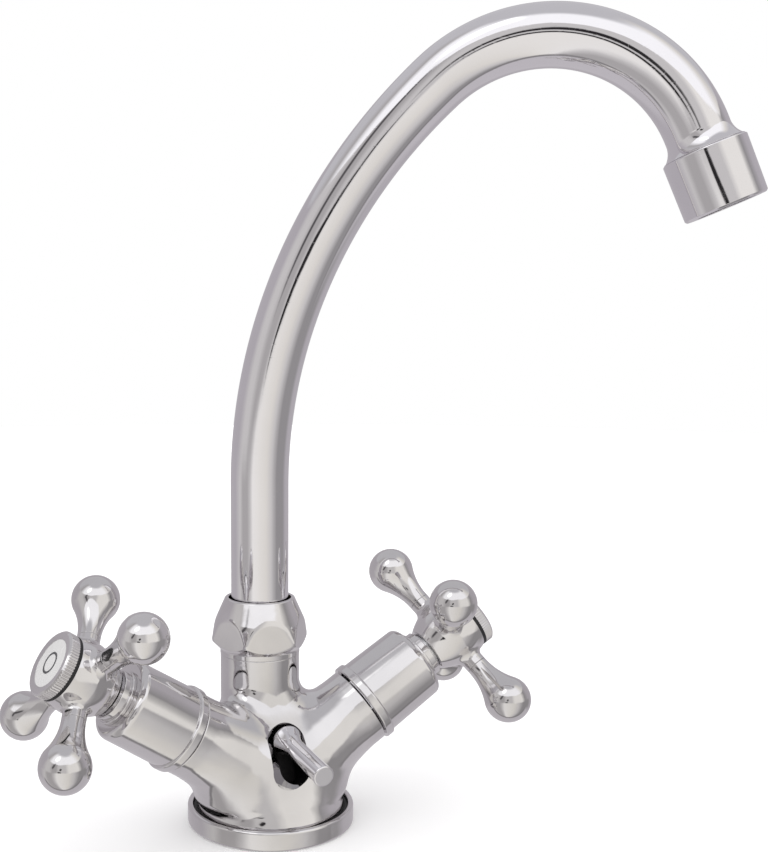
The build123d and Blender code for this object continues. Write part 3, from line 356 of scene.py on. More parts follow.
def outline(*corners, closed=True, steps=6, run_steps=1):
    """Outline through (radius, station, rounding) corners: straight runs joined by arcs that touch
    both runs, each arc starting rounding * tan(half the turn) before its corner."""
    spots = np.array([corner[:2] for corner in corners], float)
    rounds = np.array([corner[2] if len(corner) > 2 else 0 for corner in corners], float)
    before = np.roll(spots, 1, 0) - spots
    after = np.roll(spots, -1, 0) - spots
    before /= np.maximum(np.linalg.norm(before, axis=1), 1e-12)[:, None]
    after /= np.maximum(np.linalg.norm(after, axis=1), 1e-12)[:, None]
    parts = []
    ends = []
    for spot, rounding, back, ahead in zip(spots, rounds, before, after):
        half = 0.5 * np.arccos(np.clip(back @ ahead, -1, 1))
        if rounding == 0 or half > np.pi / 2 - 1e-4:
            ends.append((spot, spot, None))
            continue
        reach = rounding / np.tan(half)
        bisector = (back + ahead) / np.linalg.norm(back + ahead)
        centre = spot + bisector * rounding / np.sin(half)
        first, last = spot + back * reach, spot + ahead * reach
        begin = np.arctan2(*(first - centre)[::-1])
        sweep = (np.arctan2(*(last - centre)[::-1]) - begin + np.pi) % TURN - np.pi
        ends.append((first, last, arc(centre, rounding, begin, begin + sweep, steps)))
    count = len(ends)
    for i in range(count):
        if ends[i][2] is not None:
            parts.append(ends[i][2])
        if i + 1 < count or closed:
            start, end = ends[i][1], ends[(i + 1) % count][0]
            if np.linalg.norm(end - start) > 1e-9:
                parts.append(run(start, end, run_steps))
    return join(*parts, close=closed)


def join(*parts, close=False):
    """Outlines one after another: a point stays single where the normals agree."""
    points = np.concatenate([part[0] for part in parts])
    normals = np.concatenate([part[1] for part in parts])
    if close:
        points = np.concatenate([points, points[:1]])
        normals = np.concatenate([normals, normals[:1]])
    same = np.linalg.norm(np.diff(points, axis=0), axis=1) < 1e-9
    agree = np.einsum("ij,ij->i", normals[1:], normals[:-1]) > 0.99999
    keep = np.concatenate([[True], ~(same & agree)])
    return points[keep], normals[keep]


# Frames: a frame is four columns, X, Y, Z and origin, each a point of the packed model.


def upright(x, y, height=0.0):
    """Frame of an upright axis."""
    return np.array([(1, 0, 0), (0, 1, 0), (0, 0, 1), (x, y, height)], float)


def joint(name):
    """Joint of the packed model, by name."""
    return next(entry for entry in frame["joints"] if entry["name"] == name)


def neck_frame():
    """Frame of the neck: the axis that the spout swings about, from the basin up."""
    x, y, _ = joint("spout_swivel")["pos_m"]
    return upright(x, y)


def valve_frame(side):
    """Frame of a valve: Z out along its arm, X towards the ball arm that points up and back."""
    hand = 1 if side == "right" else -1
    entry = joint(side + "_handle_turn")
    outward = np.array(entry["axis"], float)
    outward *= hand * np.sign(outward[0])
    level = np.cross(outward, (0, 0, 1))
    level /= np.linalg.norm(level)
    upward = np.cross(level, outward)
    turn = -hand * settings("handle").turn
    across = upward * np.cos(turn) + level * np.sin(turn)
    return np.array([across, np.cross(outward, across), outward, entry["pos_m"]])


def spoke_frames(side):
    """Frames of the four ball arms: Z outward from the hub's middle."""
    x, y, z, origin = valve_frame(side)
    middle = origin + z * settings("handle").cross_station
    spokes = []
    for quarter in range(4):
        turn = quarter * TURN / 4
        out = x * np.cos(turn) + y * np.sin(turn)
        spokes.append(np.array([z, np.cross(out, z), out, middle]))
    return spokes


def turned(shape, axis, steps=96, turns=None):
    """Surface turned about an axis: origin + r (cos a X + sin a Y) + z Z for each outline point (r, z)
    and each angle a. The normal is the outline's, turned alike."""
    points, normals = shape
    if turns is None:
        turns = np.arange(steps) * TURN / steps
    x, y, z, origin = axis
    out = np.cos(turns)[:, None] * x + np.sin(turns)[:, None] * y
    where = origin + points[:, 0, None, None] * out + points[:, 1, None, None] * z
    facing = normals[:, 0, None, None] * out + normals[:, 1, None, None] * z
    return where, facing


def grid_faces(rows, columns, wraps=True):
    """Quads of a grid, each as four grid numbers, facing along (around) cross (onwards)."""
    i = np.arange(rows - 1)[:, None]
    j = np.arange(columns if wraps else columns - 1)[None, :]
    k = (j + 1) % columns
    quads = np.stack([i * columns + j, i * columns + k, (i + 1) * columns + k, (i + 1) * columns + j], -1)
    return quads.reshape(-1, 4)


def piece(name, body, finish, grids, stands_for=(), wraps=True):
    """Mesh object from grids of points and normals. Points closer than the weld distance become one,
    quads that lose a corner become triangles, and each face corner keeps its own normal."""
    points = np.concatenate([grid[0].reshape(-1, 3) for grid in grids])
    normals = np.concatenate([grid[1].reshape(-1, 3) for grid in grids])
    normals /= np.linalg.norm(normals, axis=1)[:, None]
    quads = []
    first = 0
    for where, _ in grids:
        quads.append(grid_faces(where.shape[0], where.shape[1], wraps) + first)
        first += where.shape[0] * where.shape[1]
    return mesh_piece(name, body, finish, points, normals, np.concatenate(quads), stands_for)


def mesh_piece(name, body, finish, points, normals, quads, stands_for=()):
    """Mesh object from loose quads over a list of points with a normal each."""
    _, first, same = np.unique(np.round(points / WELD).astype(np.int64), axis=0, return_index=True, return_inverse=True)
    welded = same.reshape(-1)[quads]
    ahead = np.roll(welded, -1, 1)
    keep = welded != ahead
    counts = keep.sum(1)
    real = counts >= 3
    welded, quads, keep, counts = welded[real], quads[real], keep[real], counts[real]
    corner_spots = welded[keep]
    corner_normals = normals[quads[keep]]
    mesh = bpy.data.meshes.new(name)
    mesh.vertices.add(len(first))
    mesh.vertices.foreach_set("co", points[first].astype(np.float32).ravel())
    mesh.loops.add(len(corner_spots))
    mesh.loops.foreach_set("vertex_index", corner_spots.astype(np.int32))
    mesh.polygons.add(len(counts))
    mesh.polygons.foreach_set("loop_start", np.concatenate([[0], np.cumsum(counts)[:-1]]).astype(np.int32))
    mesh.polygons.foreach_set("use_smooth", np.ones(len(counts), bool))
    mesh.update(calc_edges=True)
    mesh.normals_split_custom_set(corner_normals)
    mesh.validate()
    mesh.materials.append(finish)
    made = bpy.data.objects.new(name, mesh)
    bpy.context.scene.collection.objects.link(made)
    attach(made, body)
    if stands_for:
        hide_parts(*stands_for)
    return made


# Finishes


def shader_node(tree, kind, inputs=None, **choices):
    """Node of one kind; an input is a number, a colour or another node's output."""
    made = tree.nodes.new("ShaderNode" + kind)
    for key, value in choices.items():
        setattr(made, key, value)
    for key, value in (inputs or {}).items():
        if isinstance(value, bpy.types.NodeSocket):
            tree.links.new(value, made.inputs[key])
        else:
            made.inputs[key].default_value = value
    return made


def effect_group(name, inputs, output, kind="NodeSocketFloat"):
    """Empty node group with named number inputs, a Position input and one output."""
    tree = bpy.data.node_groups.new(name, "ShaderNodeTree")
    tree.interface.new_socket(name="Position", in_out="INPUT", socket_type="NodeSocketVector")
    for label, value in inputs.items():
        socket = tree.interface.new_socket(name=label, in_out="INPUT", socket_type="NodeSocketFloat")
        socket.default_value = value
    tree.interface.new_socket(name=output, in_out="OUTPUT", socket_type=kind)
    return tree, tree.nodes.new("NodeGroupInput").outputs, tree.nodes.new("NodeGroupOutput").inputs


def smudge_group():
    """Roughness that drifts between two values in soft patches, like handled metal."""
    tree, given, put = effect_group("handled_patches", {"Scale": 60, "Clean": 0.05, "Dull": 0.12}, "Roughness")
    broad = shader_node(tree, "TexNoise", {"Vector": given["Position"], "Scale": given["Scale"], "Detail": 3.0})
    mask = shader_node(tree, "MapRange", {0: broad.outputs[0], 1: 0.48, 2: 0.72, 3: given["Clean"], 4: given["Dull"]})
    tree.links.new(mask.outputs[0], put["Roughness"])
    return tree


def wave_group():
    """Height of a polished casting: long low waves with a little orange peel on them."""
    tree, given, put = effect_group("polished_waves", {"Scale": 45, "Peel": 0.15}, "Height")
    broad = shader_node(tree, "TexNoise", {"Vector": given["Position"], "Scale": given["Scale"], "Detail": 1.0})
    finer = shader_node(tree, "Math", {0: given["Scale"], 1: 6.0}, operation="MULTIPLY")
    peel = shader_node(tree, "TexNoise", {"Vector": given["Position"], "Scale": finer.outputs[0], "Detail": 1.0})
    small = shader_node(tree, "Math", {0: peel.outputs[0], 1: given["Peel"], 2: broad.outputs[0]}, operation="MULTIPLY_ADD")
    tree.links.new(small.outputs[0], put["Height"])
    return tree


def grain_group():
    """Value between two numbers in fine grain, for machined, moulded or rubbery skins."""
    tree, given, put = effect_group("fine_grain", {"Scale": 900, "Low": 0.0, "High": 1.0}, "Value")
    noise = shader_node(tree, "TexNoise", {"Vector": given["Position"], "Scale": given["Scale"], "Detail": 4.0})
    spread = shader_node(tree, "MapRange", {0: noise.outputs[0], 1: 0.3, 2: 0.7, 3: given["Low"], 4: given["High"]})
    tree.links.new(spread.outputs[0], put["Value"])
    return tree


def scratch_group():
    """Height of hairline scratches: noise squeezed along two slanted directions."""
    tree, given, put = effect_group("hairlines", {"Scale": 300, "Amount": 0.5}, "Height")
    heights = []
    for slant, squeeze in (((0.5, 0.9, 0.2), (9, 1, 1)), ((-0.7, 0.3, 1.1), (1, 1, 9))):
        turned_to = shader_node(tree, "Mapping", {"Vector": given["Position"], "Rotation": slant, "Scale": squeeze})
        lines = shader_node(tree, "TexNoise", {"Vector": turned_to.outputs[0], "Scale": given["Scale"], "Detail": 2.0})
        thin = shader_node(tree, "MapRange", {0: lines.outputs[0], 1: 0.66, 2: 0.72, 3: 0.0, 4: given["Amount"]})
        heights.append(thin.outputs[0])
    both = shader_node(tree, "Math", {0: heights[0], 1: heights[1]}, operation="ADD")
    tree.links.new(both.outputs[0], put["Height"])
    return tree


def grouped(tree, group, position, **values):
    """Shared node group placed in a material with its own values."""
    made = tree.nodes.new("ShaderNodeGroup")
    made.node_tree = bpy.data.node_groups[group]
    tree.links.new(position, made.inputs["Position"])
    for key, value in values.items():
        made.inputs[key].default_value = value
    return made.outputs[0]


def blank_finish(name, **values):
    """Material with one Principled shader, its plain values set on its own sockets."""
    made = bpy.data.materials.new(name)
    made.use_nodes = True
    tree = made.node_tree
    tree.nodes.clear()
    shader = tree.nodes.new("ShaderNodeBsdfPrincipled")
    put = tree.nodes.new("ShaderNodeOutputMaterial")
    tree.links.new(shader.outputs[0], put.inputs["Surface"])
    for key, value in values.items():
        shader.inputs[key.replace("_", " ")].default_value = value
    position = tree.nodes.new("ShaderNodeTexCoord").outputs["Object"]
    return made, tree, shader, position


def tone(tree, position, shade, scale, spread):
    """Colour that drifts a little lighter and darker than a shade."""
    value = grouped(tree, "fine_grain", position, Scale=scale, Low=1 - spread, High=1 + spread)
    return shader_node(tree, "VectorMath", {0: shade, "Scale": value}, operation="SCALE").outputs[0]


def bump(tree, height, distance, strength=1.0, under=None):
    """Normal from a height, over another normal where one is given."""
    inputs = {"Height": height, "Distance": distance, "Strength": strength}
    if under is not None:
        inputs["Normal"] = under
    return shader_node(tree, "Bump", inputs).outputs[0]


def chrome_finish(name, shade, gloss, waves=1.0, patches=60, spread=0.02):
    """Polished chrome plate: faint waves, hairlines, and handled patches."""
    made, tree, shader, position = blank_finish(name, Metallic=1.0)
    tree.links.new(tone(tree, position, shade, 35, spread), shader.inputs["Base Color"])
    rough = grouped(tree, "handled_patches", position, Scale=patches, Clean=gloss, Dull=2.4 * gloss)
    tree.links.new(rough, shader.inputs["Roughness"])
    waved = bump(tree, grouped(tree, "polished_waves", position, Scale=45, Peel=0.06), 0.12 * MM * waves)
    scored = bump(tree, grouped(tree, "hairlines", position, Scale=260, Amount=0.4), 0.004 * MM, under=waved)
    tree.links.new(scored, shader.inputs["Normal"])
    return made


def metal_finish(name, shade, roughness, grain):
    """Machined metal: fine grain in colour, roughness and height."""
    made, tree, shader, position = blank_finish(name, Metallic=1.0)
    tree.links.new(tone(tree, position, shade, grain / 4, 0.12), shader.inputs["Base Color"])
    rough = grouped(tree, "fine_grain", position, Scale=grain, Low=0.8 * roughness, High=1.25 * roughness)
    tree.links.new(rough, shader.inputs["Roughness"])
    tree.links.new(bump(tree, grouped(tree, "fine_grain", position, Scale=grain), 0.02 * MM), shader.inputs["Normal"])
    return made


def plain_finish(name, shade, roughness, grain, spread=0.06, depth=0.02, **values):
    """Moulded or fired skin that isn't metal."""
    made, tree, shader, position = blank_finish(name, **values)
    tree.links.new(tone(tree, position, shade, grain / 6, spread), shader.inputs["Base Color"])
    rough = grouped(tree, "fine_grain", position, Scale=grain, Low=0.85 * roughness, High=1.2 * roughness)
    tree.links.new(rough, shader.inputs["Roughness"])
    tree.links.new(bump(tree, grouped(tree, "fine_grain", position, Scale=grain), depth * MM), shader.inputs["Normal"])
    return made


finishes = {}


class TAP_OT_finishes(bpy.types.Operator):
    """Makes the shared effects and every finish"""

    bl_idname = "tap.finishes"
    bl_label = "Finishes"

    def execute(self, context):
        look = settings("finish")
        for make_group in (smudge_group, wave_group, grain_group, scratch_group):
            make_group()
        # The chrome on the castings and handles is a darker copy of the polished chrome, painted shade, with its own
        # rougher and wavier finish.
        shaded_and_dull = (look.dull_chrome[:], look.dull_gloss)
        finishes["chrome"] = chrome_finish("polished_chrome", look.chrome[:], look.chrome_gloss)
        finishes["cast_chrome"] = chrome_finish("chrome_on_casting", *shaded_and_dull, waves=5.0, patches=90, spread=0.10)
        finishes["handle_chrome"] = chrome_finish("chrome_on_handles", *shaded_and_dull, waves=1.5, patches=110, spread=0.06)
        # Darker chrome on the slot's chamfer: painted shade, with a rougher finish of its own.
        finishes["slot_chrome"] = chrome_finish("chrome_in_slot", look.slot_chrome[:], 0.10)
        finishes["brass"] = metal_finish("machined_brass", look.brass[:], 0.32, 1500)
        finishes["steel"] = metal_finish("plain_steel", look.steel[:], 0.28, 1800)
        # Near-black finish for the slot's walls and end: painted shade inside the slot.
        finishes["casting"] = metal_finish("casting_skin", look.casting[:], 0.55, 900)
        finishes["black_rubber"] = plain_finish("seal_rubber", look.rubber[:], 0.55, 2200)
        finishes["white_plastic"] = plain_finish("glide_plastic", look.white_plastic[:], 0.38, 1600)
        finishes["grey_plastic"] = plain_finish("insert_plastic", look.grey_plastic[:], 0.42, 1600)
        finishes["disc_ceramic"] = plain_finish("valve_ceramic", look.ceramic[:], 0.22, 2600, 0.03)
        finishes["index_white"] = plain_finish("index_enamel", look.index_white[:], 0.25, 400, 0.02, 0.001, Coat_Weight=0.6)
        finishes["index_mark"] = plain_finish("index_print", look.index_mark[:], 0.35, 1500, 0.10, 0.005)
        return {"FINISHED"}


class TAP_OT_carried_nodes(bpy.types.Operator):
    """Gives each carried-over solid a single material slot with the finish that its name calls for"""

    bl_idname = "tap.carried_nodes"
    bl_label = "Carried-over solids"

    def execute(self, context):
        for name, solid in frame["nodes"].items():
            finish = finishes[carried_finish(name)]
            solid.data.materials.clear()
            solid.data.materials.append(finish)
            for face in solid.data.polygons:
                face.material_index = 0
        return {"FINISHED"}


def carried_finish(name):
    """Finish of a solid, from its name in the packed model."""
    stem = name.replace("_left", "").replace("_right", "")
    rubber = ("base_gasket", "flange_seal", "seat_seal", "spindle_o_rings", "spout_o_rings", "cap_seal", "aerator_seal")
    brass = ("spindle", "spout_bush")
    steel = ("circlip", "handle_screw", "lever_pin")
    if stem in rubber:
        return "black_rubber"
    if stem in brass:
        return "brass"
    if stem in steel:
        return "steel"
    return {
        "glide_ring_lower": "white_plastic",
        "glide_ring_upper": "white_plastic",
        "aerator_insert": "grey_plastic",
        "fixed_disc": "disc_ceramic",
        "moving_disc": "disc_ceramic",
        "index_disc": "index_white",
    }.get(stem, "chrome")


class TAP_OT_foot(bpy.types.Operator):
    """Builds the flange and the black ring in its groove"""

    bl_idname = "tap.foot"
    bl_label = "Foot"

    def execute(self, context):
        size = settings("foot")
        axis = upright(0, 0)
        lip = size.flange_radius - size.lip_width
        flange = outline(
            (size.gasket_radius, 0, 0.2 * MM),
            (size.flange_radius, 0, size.edge),
            (size.flange_radius, size.flange_height, size.edge),
            (lip, size.flange_height, 0.4 * size.lip_width),
            (lip, size.ledge_height, 0.1 * MM),
            (size.bore_radius, size.ledge_height, 0.2 * MM),
            (size.bore_radius, size.gasket_height, 0.1 * MM),
            (size.gasket_radius, size.gasket_height),
            steps=10,
        )
        piece("flange_ring", "tap_body", finishes["cast_chrome"], [turned(flange, axis, 192)], ["base_flange"])
        top = size.ledge_height + size.seal_height
        seal = outline(
            (size.seal_inner, size.ledge_height),
            (size.seal_outer, size.ledge_height),
            (size.seal_outer, top, 0.3 * MM),
            (size.seal_inner, top, 0.3 * MM),
        )
        piece("groove_seal", "tap_body", finishes["black_rubber"], [turned(seal, axis, 192)], ["flange_seal"])
        return {"FINISHED"}


def spout_axis(stations):
    """Middle line of the spout at each station along it, as (place, sideways, inwards, ahead):
    a straight riser, two arcs in the spout's upright plane, then straight on through the outlet.
    Each stretch starts from the last one's end, with the heading turned by length over radius."""
    size = settings("spout")
    heading = size.turn
    flat = np.array([np.cos(heading), np.sin(heading), 0.0])
    level = np.array([np.sin(heading), -np.cos(heading), 0.0])
    up = np.array([0.0, 0.0, 1.0])
    stretches = [
        (size.riser_top - size.foot, 0.0),
        (size.lean_radius * size.lean_angle, 1 / size.lean_radius),
        (size.crown_radius * size.crown_angle, 1 / size.crown_radius),
        (np.inf, 0.0),
    ]
    place = np.zeros((len(stations), 2))
    lean = np.zeros(len(stations))
    start, corner, tilt = 0.0, np.array([0.0, size.foot]), 0.0
    for reach, bend in stretches:
        within = np.clip(stations - start, 0, reach)
        here = stations >= start - 1e-12
        new_tilt = tilt + bend * within
        if bend:
            across = (np.cos(tilt) - np.cos(new_tilt)) / bend
            rise = (np.sin(new_tilt) - np.sin(tilt)) / bend
        else:
            across, rise = np.sin(tilt) * within, np.cos(tilt) * within
        place[here] = (corner + np.stack([across, rise], 1))[here]
        lean[here] = new_tilt[here]
        if np.isfinite(reach):
            last = tilt + bend * reach
            if bend:
                corner = corner + np.array([np.cos(tilt) - np.cos(last), np.sin(last) - np.sin(tilt)]) / bend
            else:
                corner = corner + reach * np.array([np.sin(tilt), np.cos(tilt)])
            start, tilt = start + reach, last
    origin = neck_frame()[3]
    spots = origin + place[:, :1] * flat + place[:, 1:] * up
    ahead = np.sin(lean)[:, None] * flat + np.cos(lean)[:, None] * up
    sideways = np.tile(level, (len(stations), 1))
    return spots, sideways, np.cross(ahead, sideways), ahead


def spout_length():
    """Length of the spout's middle line from its foot to the start of the bell."""
    size = settings("spout")
    straight = size.riser_top - size.foot
    return straight + size.lean_radius * size.lean_angle + size.crown_radius * size.crown_angle


def carried_along(shape, steps=128):
    """Outline (radius, station) carried round the spout's bent middle line: place + r (cos a S + sin a I)
    for each angle a, with S and I the two directions square to the line."""
    points, normals = shape
    spots, sideways, inwards, ahead = spout_axis(points[:, 1])
    turns = np.arange(steps) * TURN / steps
    cos, sin = np.cos(turns)[:, None], np.sin(turns)[:, None]
    out = cos * sideways[:, None, :] + sin * inwards[:, None, :]
    where = spots[:, None, :] + points[:, 0, None, None] * out
    facing = normals[:, 0, None, None] * out + normals[:, 1, None, None] * ahead[:, None, :]
    return where, facing


def outlet_frame():
    """Frame at the rim of the spout's bell: Z out along the water."""
    spots, sideways, inwards, ahead = spout_axis(np.array([spout_length() + settings("spout").flare_length]))
    return np.array([sideways[0], inwards[0], ahead[0], spots[0]])


class TAP_OT_spout(bpy.types.Operator):
    """Builds the swan neck with its bell, and the aerator's housing"""

    bl_idname = "tap.spout"
    bl_label = "Spout"

    def execute(self, context):
        size = settings("spout")
        total = spout_length()
        inside = size.tube_radius - size.tube_wall
        rim = total + size.flare_length
        end = rim + size.thread_length
        half_way = (size.tube_radius + 0.22 * (size.flare_radius - size.tube_radius), total + 0.55 * size.flare_length)
        tube = join(
            run((inside, 0), (size.tube_radius, 0)),
            run((size.tube_radius, 0), (size.tube_radius, total), 260),
            arc_through((size.tube_radius, total), half_way, (size.flare_radius - 0.3 * MM, rim - 0.25 * MM)),
            arc((size.flare_radius - 0.3 * MM, rim - 0.3 * MM), 0.3 * MM, 0.3, np.pi / 2, 6),
            run((size.flare_radius - 0.3 * MM, rim), (size.thread_radius, rim)),
            run((size.thread_radius, rim), (size.thread_radius, end)),
            run((size.thread_radius, end), (inside, end)),
            run((inside, end), (inside, 0), 260),
        )
        piece("swan_neck", "spout", finishes["chrome"], [carried_along(tube)], ["spout_tube"])
        foot_out = size.aerator_foot + size.aerator_edge / 2
        foot_in = size.aerator_foot - size.aerator_edge / 2
        bore = size.aerator_foot - size.aerator_wall
        thread = size.thread_radius + 0.05 * MM
        bottom = size.aerator_length
        lip_top = bottom - 0.9 * MM
        housing = outline(
            (thread, 0),
            (bore, size.seat_depth),
            (bore, lip_top),
            (bore - size.aerator_lip, lip_top),
            (bore - size.aerator_lip, bottom, 0.15 * MM),
            (foot_in, bottom, 0.12 * MM),
            (foot_out, bottom - size.aerator_edge, 0.12 * MM),
            (size.aerator_top, 0, size.aerator_edge),
        )
        points, normals = housing
        shell = (points[::-1], normals[::-1] * -1)
        piece("aerator_shell", "spout", finishes["chrome"], [turned(shell, outlet_frame(), 128)], ["aerator_housing"])
        return {"FINISHED"}


def softer(first, second, softness):
    """Smaller of two lengths, rounded where they are close: the least of both, less a quarter of
    softness times the square of what is left of their nearness. Also gives the second's share."""
    near = np.clip(1 - np.abs(first - second) / softness, 0, 1)
    least = np.minimum(first, second) - 0.25 * softness * near**2
    part = np.where(second < first, 1 - near / 2, near / 2)
    return least, part


class TAP_OT_nut(bpy.types.Operator):
    """Builds the bell nut: a turned bell cut by six upright flats"""

    bl_idname = "tap.nut"
    bl_label = "Spout nut"

    def execute(self, context):
        size = settings("nut")
        top = size.foot + size.height
        bell = outline(
            (size.bore_radius, size.foot),
            (size.foot_radius, size.foot, 0.2 * MM),
            (size.foot_radius, size.foot + size.foot_height, 0.6 * MM),
            (size.swell_radius, size.foot + size.swell_height, 1.5 * MM),
            (size.shoulder_radius, size.foot + size.shoulder_height, size.shoulder_round),
            (size.top_radius, top, 0.7 * MM),
            (size.mouth_radius, top, 0.25 * MM),
            (size.mouth_radius, size.ceiling),
            (size.bore_radius, size.ceiling),
            steps=24,
            run_steps=14,
        )
        points, normals = bell
        steps = 480
        turns = np.arange(steps) * TURN / steps
        flat = np.round((turns - size.turn) / (TURN / 6)) * (TURN / 6) + size.turn
        reach = size.across_flats / 2 / np.cos(turns - flat)
        radii, part = softer(points[:, 0, None], reach[None, :], size.edge)
        x, y, z, origin = neck_frame()
        out = np.cos(turns)[:, None] * x + np.sin(turns)[:, None] * y
        flat_out = np.cos(flat)[:, None] * x + np.sin(flat)[:, None] * y
        where = origin + radii[..., None] * out + points[:, 1, None, None] * z
        turned_facing = normals[:, 0, None, None] * out + normals[:, 1, None, None] * z
        facing = (1 - part[..., None]) * turned_facing + part[..., None] * flat_out
        piece("bell_nut", "tap_body", finishes["cast_chrome"], [(where, facing)], ["spout_nut"])
        return {"FINISHED"}



# Fields: nothing on a surface, less inside it and more outside, growing with the distance.


def slope_of(field, points, step=0.01 * MM):
    """Slope of a field, from its differences over a small step each way along the three axes."""
    steps = np.eye(3) * step
    return np.stack([field(points + way) - field(points - way) for way in steps], -1) / (2 * step)


def settled(points, field, rounds=4):
    """Points moved on to a field's surface: each goes down the slope by the field over the slope's
    square, a few times."""
    for _ in range(rounds):
        slope = slope_of(field, points)
        points = points - (field(points) / np.maximum((slope**2).sum(-1), 0.1))[..., None] * slope
    return points


def relaxed(points, field, rounds):
    """Grid between two fixed closed rows: again and again each point goes to the mean of its four
    neighbours and back on to the field's surface."""
    points = points.copy()
    points[1:-1] = settled(points[1:-1], field)
    for _ in range(rounds):
        beside = np.roll(points, 1, 1)[1:-1] + np.roll(points, -1, 1)[1:-1]
        points[1:-1] = settled((points[2:] + points[:-2] + beside) / 4, field, 1)
    points[1:-1] = settled(points[1:-1], field)
    return points


def with_slope(points, field):
    """Grid of points with the field's slope there as the normal."""
    return points, slope_of(field, points)


def reached(field, start, way, near, far, rounds=44):
    """Points where rays leave a solid: halving the stretch between a place inside and one outside."""
    low, high = np.full(start.shape[:-1], near), np.full(start.shape[:-1], far)
    for _ in range(rounds):
        middle = (low + high) / 2
        inside = field(start + middle[..., None] * way) < 0
        low, high = np.where(inside, middle, low), np.where(inside, high, middle)
    return start + ((low + high) / 2)[..., None] * way


def blended(first, second, softness):
    """Union of two fields with a hollow round between them, of the radius softness."""
    near = np.hypot(np.maximum(softness - first, 0), np.maximum(softness - second, 0))
    return np.maximum(softness, np.minimum(first, second)) - near


def eased(value):
    """Smooth step from nothing to one: 3 v squared less 2 v cubed."""
    value = np.clip(value, 0, 1)
    return value * value * (3 - 2 * value)


def casting_field(points):
    """Outside of the casting: two tapered arms and their round root, the neck and the skirt, with
    wide hollows at the front and tight ones at the sides of the neck. The skirt's radius falls
    by its drop times a power of the share of its height."""
    size = settings("body")
    arms = []
    for side in SIDES:
        _, _, outward, origin = valve_frame(side)
        local = points - origin
        station = local @ outward
        away = np.linalg.norm(local - station[..., None] * outward, axis=-1)
        grown = size.arm_taper * (1 - eased(station / size.taper_length))
        arms.append(np.hypot(away, np.minimum(station, 0)) - size.arm_radius - grown)
    both = blended(arms[0], arms[1], size.crotch_round)
    x, y, z = np.moveaxis(points, -1, 0)
    back = y - neck_frame()[3][1]
    neck = np.hypot(x, back) - size.neck_radius
    front = np.clip(-back / np.maximum(np.hypot(x, back), 1e-9), 0, 1) ** 2
    neck_round = size.neck_side_round + (size.neck_front_round - size.neck_side_round) * front
    whole = blended(both, neck, neck_round)
    radius = np.hypot(x, y)
    drop = size.skirt_radius - size.shoulder_radius
    risen = np.maximum(z - size.ledge_height, 0) / (size.shoulder_height - size.ledge_height)
    slope = size.skirt_bend * drop * risen ** (size.skirt_bend - 1) / (size.shoulder_height - size.ledge_height)
    skirt = (radius - size.skirt_radius + drop * risen**size.skirt_bend) / np.hypot(1, slope)
    beside = (x / np.maximum(radius, 1e-9)) ** 2
    foot_round = size.foot_front_round + (size.foot_side_round - size.foot_front_round) * beside
    return blended(whole, skirt, 1.0 * MM + foot_round * eased((z - 4.5 * MM) / (6 * MM)))


def slot_frame():
    """Frame of the lever's slot: X across, Y along the slot and Z out of the body."""
    size = settings("body")
    lean = size.slot_lean
    along = np.array([0, np.sin(lean), np.cos(lean)])
    outward = np.array([0, -np.cos(lean), np.sin(lean)])
    return np.array([(1, 0, 0), along, outward, (0, size.slot_y, size.slot_height)])


def slot_outline():
    """Long hole with round ends: points (across, along) and outward normals, from its lowest point
    round by the right, each quarter circle and each side evenly divided."""
    size = settings("body")
    half = size.slot_width / 2
    straight = size.slot_length / 2 - half
    quarter = np.linspace(0, np.pi / 2, SLOT_QUARTER + 1)
    low = np.stack([half * np.sin(quarter), -straight - half * np.cos(quarter)], 1)
    side = np.stack([np.full(SLOT_SIDE - 1, half), np.linspace(-straight, straight, SLOT_SIDE + 1)[1:-1]], 1)
    high = np.stack([half * np.cos(quarter), straight + half * np.sin(quarter)], 1)
    low_facing = np.stack([np.sin(quarter), -np.cos(quarter)], 1)
    side_facing = np.tile([1.0, 0.0], (SLOT_SIDE - 1, 1))
    high_facing = np.stack([np.cos(quarter), np.sin(quarter)], 1)
    right = np.concatenate([low, side, high])
    facing = np.concatenate([low_facing, side_facing, high_facing])
    mirror = np.array([-1, 1])
    points = np.concatenate([right, right[-2:0:-1] * mirror])
    return points, np.concatenate([facing, facing[-2:0:-1] * mirror])


def on_slot(points, depth=0.0):
    """Places of (across, along) points of the slot's plane, a depth below the body's surface there."""
    across, along, outward, origin = slot_frame()
    flat = origin + points[:, :1] * across + points[:, 1:] * along
    return reached(casting_field, flat, outward, -8 * MM, 14 * MM) - depth * outward


